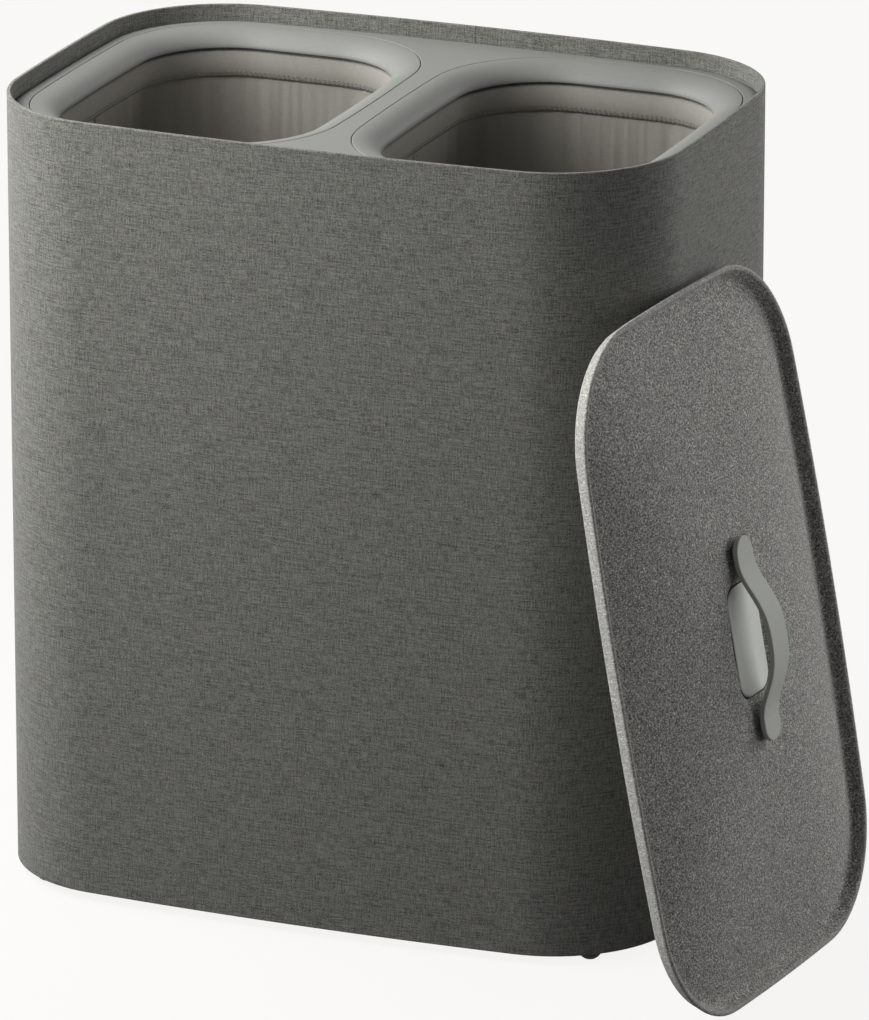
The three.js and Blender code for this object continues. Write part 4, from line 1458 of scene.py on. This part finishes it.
class HAMPER_OT_lid_handle(Operator):
    """Mould the arched strap handle with its round flat feet"""

    bl_idname = "hamper.lid_handle"
    bl_label = "Lid handle"

    def execute(self, context):
        sizes = context.scene.hamper_sizes
        dome = lid_dome(sizes)
        half, radius = sizes.handle_length / 2, sizes.handle_width / 2
        flat, thick = half - sizes.handle_foot, sizes.handle_thickness
        base = sizes.lid_rise + sizes.lid_felt + sizes.handle_standoff

        def arch(x):
            part = min(1.0, abs(x) / flat) ** sizes.handle_curve
            return base + sizes.handle_rise * (1 + math.cos(math.pi * part)) / 2

        def half_width(x):
            over = max(0.0, abs(x) - (half - radius))
            return math.sqrt(max(1e-9, radius ** 2 - over ** 2))

        def eased_edge(x):
            """How far the round edge takes the strap's faces in, near its ends."""
            into = max(0.0, HANDLE_EDGE - (half - abs(x)))
            return HANDLE_EDGE - math.sqrt(max(0.0, HANDLE_EDGE ** 2 - into ** 2))

        ends = [half - radius * (1 - math.sin(turn)) for turn in quarter_turn(14)]
        middle = [(half - radius) * i / 46 for i in range(-46, 47)]
        rings = []
        for x in [-x for x in reversed(ends[1:])] + middle + ends[1:]:
            wide, low, high = half_width(x), arch(x) + eased_edge(x), arch(x) + thick - eased_edge(x)
            r = min(HANDLE_EDGE, wide * 0.95, (high - low) * 0.48)
            ring = []
            for start, (y, z) in enumerate((
                (wide - r, high - r), (r - wide, high - r), (r - wide, low + r), (wide - r, low + r),
            )):
                for i in range(5):
                    turn = math.pi / 2 * (start + i / 4)
                    ring.append(Vector((x, y + r * math.cos(turn), z + r * math.sin(turn))))
            rings.append(ring)

        def make(build):
            add_loft(build, rings, caps=(True, True))
            for x in (half - radius, radius - half):
                spots = [Vector((x, 0)) + p for p in circle(40, sizes.boss_radius)]
                low = [Vector((*p, dome.height(*p) + sizes.lid_felt + FIT)) for p in spots]
                add_loft(build, [low, level(spots, base + thick / 2)], caps=(True, True))

        piece = new_object("lid_strap_handle", make)
        weighted(piece)
        finish = moulded_finish("handle_plastic", "handle", 0.66, 0.1, 0.2)
        put(piece, LID, finish, ["lid_handle"], lid_matrix(sizes))
        for node in ("lid_screw_upper", "lid_screw_lower"):
            refinish(node, steel_finish(), 0.0002)
        return {"FINISHED"}


# Stage


def towards(azimuth, elevation):
    """The direction from the object to a light or camera; azimuth 0 is the front and grows to the right."""
    return Vector((
        math.sin(azimuth) * math.cos(elevation), -math.cos(azimuth) * math.cos(elevation), math.sin(elevation)
    ))


# Name, azimuth, elevation, height aimed at, distance, width, height and power
LAMPS = (
    ("key", -50, 30, 0.6, 1.6, 0.8, 1.0, 25.0),
    ("side", -80, 26, 0.6, 1.6, 0.8, 1.0, 19.0),
    ("high", -105, 48, 0.62, 1.5, 0.9, 0.9, 11.0),
    ("front", -20, 30, 0.6, 1.6, 0.8, 1.0, 9.0),
    ("back", 146, 16, 0.5, 2.0, 1.0, 1.2, 18.0),
    ("rim", 108, 7, 0.38, 2.2, 1.4, 1.4, 13.5),
)


FLOOR_REACH = 30.0
# Distance from the middle over which the floor's own light takes over, and its share nearby
GLOW_FROM, GLOW_TO, GLOW_NEAR = 0.35, 1.4, 0.94
FLOOR_BOUNCE = (0.12, 0.12, 0.12, 1.0)
AMBIENT = 0.02


class HAMPER_OT_stage(Operator):
    """Set the pale floor, the soft lamps, the world and the camera"""

    bl_idname = "hamper.stage"
    bl_label = "Stage"

    def execute(self, context):
        sizes, tones = context.scene.hamper_sizes, context.scene.hamper_colours
        floor = new_object(
            "floor",
            lambda build: bmesh.ops.create_grid(build, x_segments=8, y_segments=8, size=FLOOR_REACH),
        )
        floor.data.materials.append(self.floor_finish(tones))
        target = Vector(sizes.view_target)
        for name, azimuth, elevation, aim, distance, width, height, power in LAMPS:
            lamp = bpy.data.lights.new(f"{name}_lamp", "AREA")
            lamp.shape, lamp.size, lamp.size_y, lamp.energy = "RECTANGLE", width, height, power
            spot = bpy.data.objects.new(f"{name}_lamp", lamp)
            way = towards(math.radians(azimuth), math.radians(elevation))
            spot.location = Vector((target.x, target.y, aim)) + way * distance
            spot.visible_camera = False
            spot.rotation_euler = (-way).to_track_quat("-Z", "Y").to_euler()
            context.scene.collection.objects.link(spot)
        self.world(context, tones)
        camera = bpy.data.objects.new("camera", bpy.data.cameras.new("camera"))
        camera.data.lens, camera.data.sensor_width = sizes.lens, 36.0
        camera.data.clip_start, camera.data.clip_end = 0.1, 200.0
        back = towards(sizes.view_azimuth, sizes.view_elevation)
        camera.location = target + back * sizes.view_distance
        camera.rotation_euler = (-back).to_track_quat("-Z", "Y").to_euler()
        context.scene.collection.objects.link(camera)
        context.scene.camera = camera
        context.scene.view_settings.view_transform = "Standard"
        return {"FINISHED"}

    @staticmethod
    def seen(paint):
        """1 for what the camera, a mirror or a glass sees, and 0 for light."""
        def kind(output):
            return paint.add("ShaderNodeLightPath", output=output)
        return kind("Is Camera Ray").most(kind("Is Glossy Ray")).most(kind("Is Transmission Ray"))

    def floor_finish(self, tones):
        paint = Paint(bpy.data.materials.new("floor"))
        mottle = paint.noise(paint.place(), scale=3.0, detail=3.0)
        tone = paint.shaded(tones.backdrop, 0.99 + mottle * 0.02)
        lit = paint.add("ShaderNodeBsdfDiffuse", None, {"Color": tone})
        dim = paint.add("ShaderNodeBsdfDiffuse", None, {"Color": FLOOR_BOUNCE})
        glow = paint.add("ShaderNodeEmission", None, {"Color": (*tones.backdrop, 1.0), "Strength": 1.0})
        away = paint.add("ShaderNodeVectorMath", {"operation": "LENGTH"}, {0: paint.place()}, "Value")
        glowing = paint.ranged(away, GLOW_FROM, GLOW_TO, GLOW_NEAR, 1.0)
        shown = paint.add("ShaderNodeMixShader", None, {0: glowing, 1: lit, 2: glow})
        return paint.ended(paint.add("ShaderNodeMixShader", None, {0: self.seen(paint), 1: dim, 2: shown}))

    def world(self, context, tones):
        paint = Paint(bpy.data.worlds.new("surroundings"))
        white = (1.0, 1.0, 1.0, 1.0)
        ambient = paint.add("ShaderNodeBackground", None, {"Color": white, "Strength": AMBIENT})
        pale = paint.add("ShaderNodeBackground", None, {"Color": (*tones.backdrop, 1.0), "Strength": 1.0})
        whole = paint.add("ShaderNodeMixShader", None, {0: self.seen(paint), 1: ambient, 2: pale})
        context.scene.world = paint.ended(whole, "ShaderNodeOutputWorld")


class HAMPER_PT_pieces(Panel):
    """Lists the steps that build the hamper"""

    bl_label = "Two-Bin Hamper"
    bl_idname = "HAMPER_PT_pieces"
    bl_space_type = "VIEW_3D"
    bl_region_type = "UI"
    bl_category = "Hamper"

    def draw(self, context):
        column = self.layout.column(align=True)
        for step in STEPS:
            column.operator(step.bl_idname)


STEPS = (
    HAMPER_OT_stage, HAMPER_OT_sleeve, HAMPER_OT_base, HAMPER_OT_deck, HAMPER_OT_rings, HAMPER_OT_hoops,
    HAMPER_OT_bags, HAMPER_OT_straps, HAMPER_OT_lid_felt, HAMPER_OT_lid_plate, HAMPER_OT_lid_handle,
)
CLASSES = (HamperSizes, HamperColours, *STEPS, HAMPER_PT_pieces)


def register():
    for made in CLASSES:
        bpy.utils.register_class(made)
    bpy.types.Scene.hamper_sizes = PointerProperty(type=HamperSizes)
    bpy.types.Scene.hamper_colours = PointerProperty(type=HamperColours)


def unregister():
    del bpy.types.Scene.hamper_colours
    del bpy.types.Scene.hamper_sizes
    for made in reversed(CLASSES):
        bpy.utils.unregister_class(made)


def main():
    register()
    for step in STEPS:
        group, name = step.bl_idname.split(".")
        getattr(getattr(bpy.ops, group), name)()


if __name__ == "__main__":
    main()
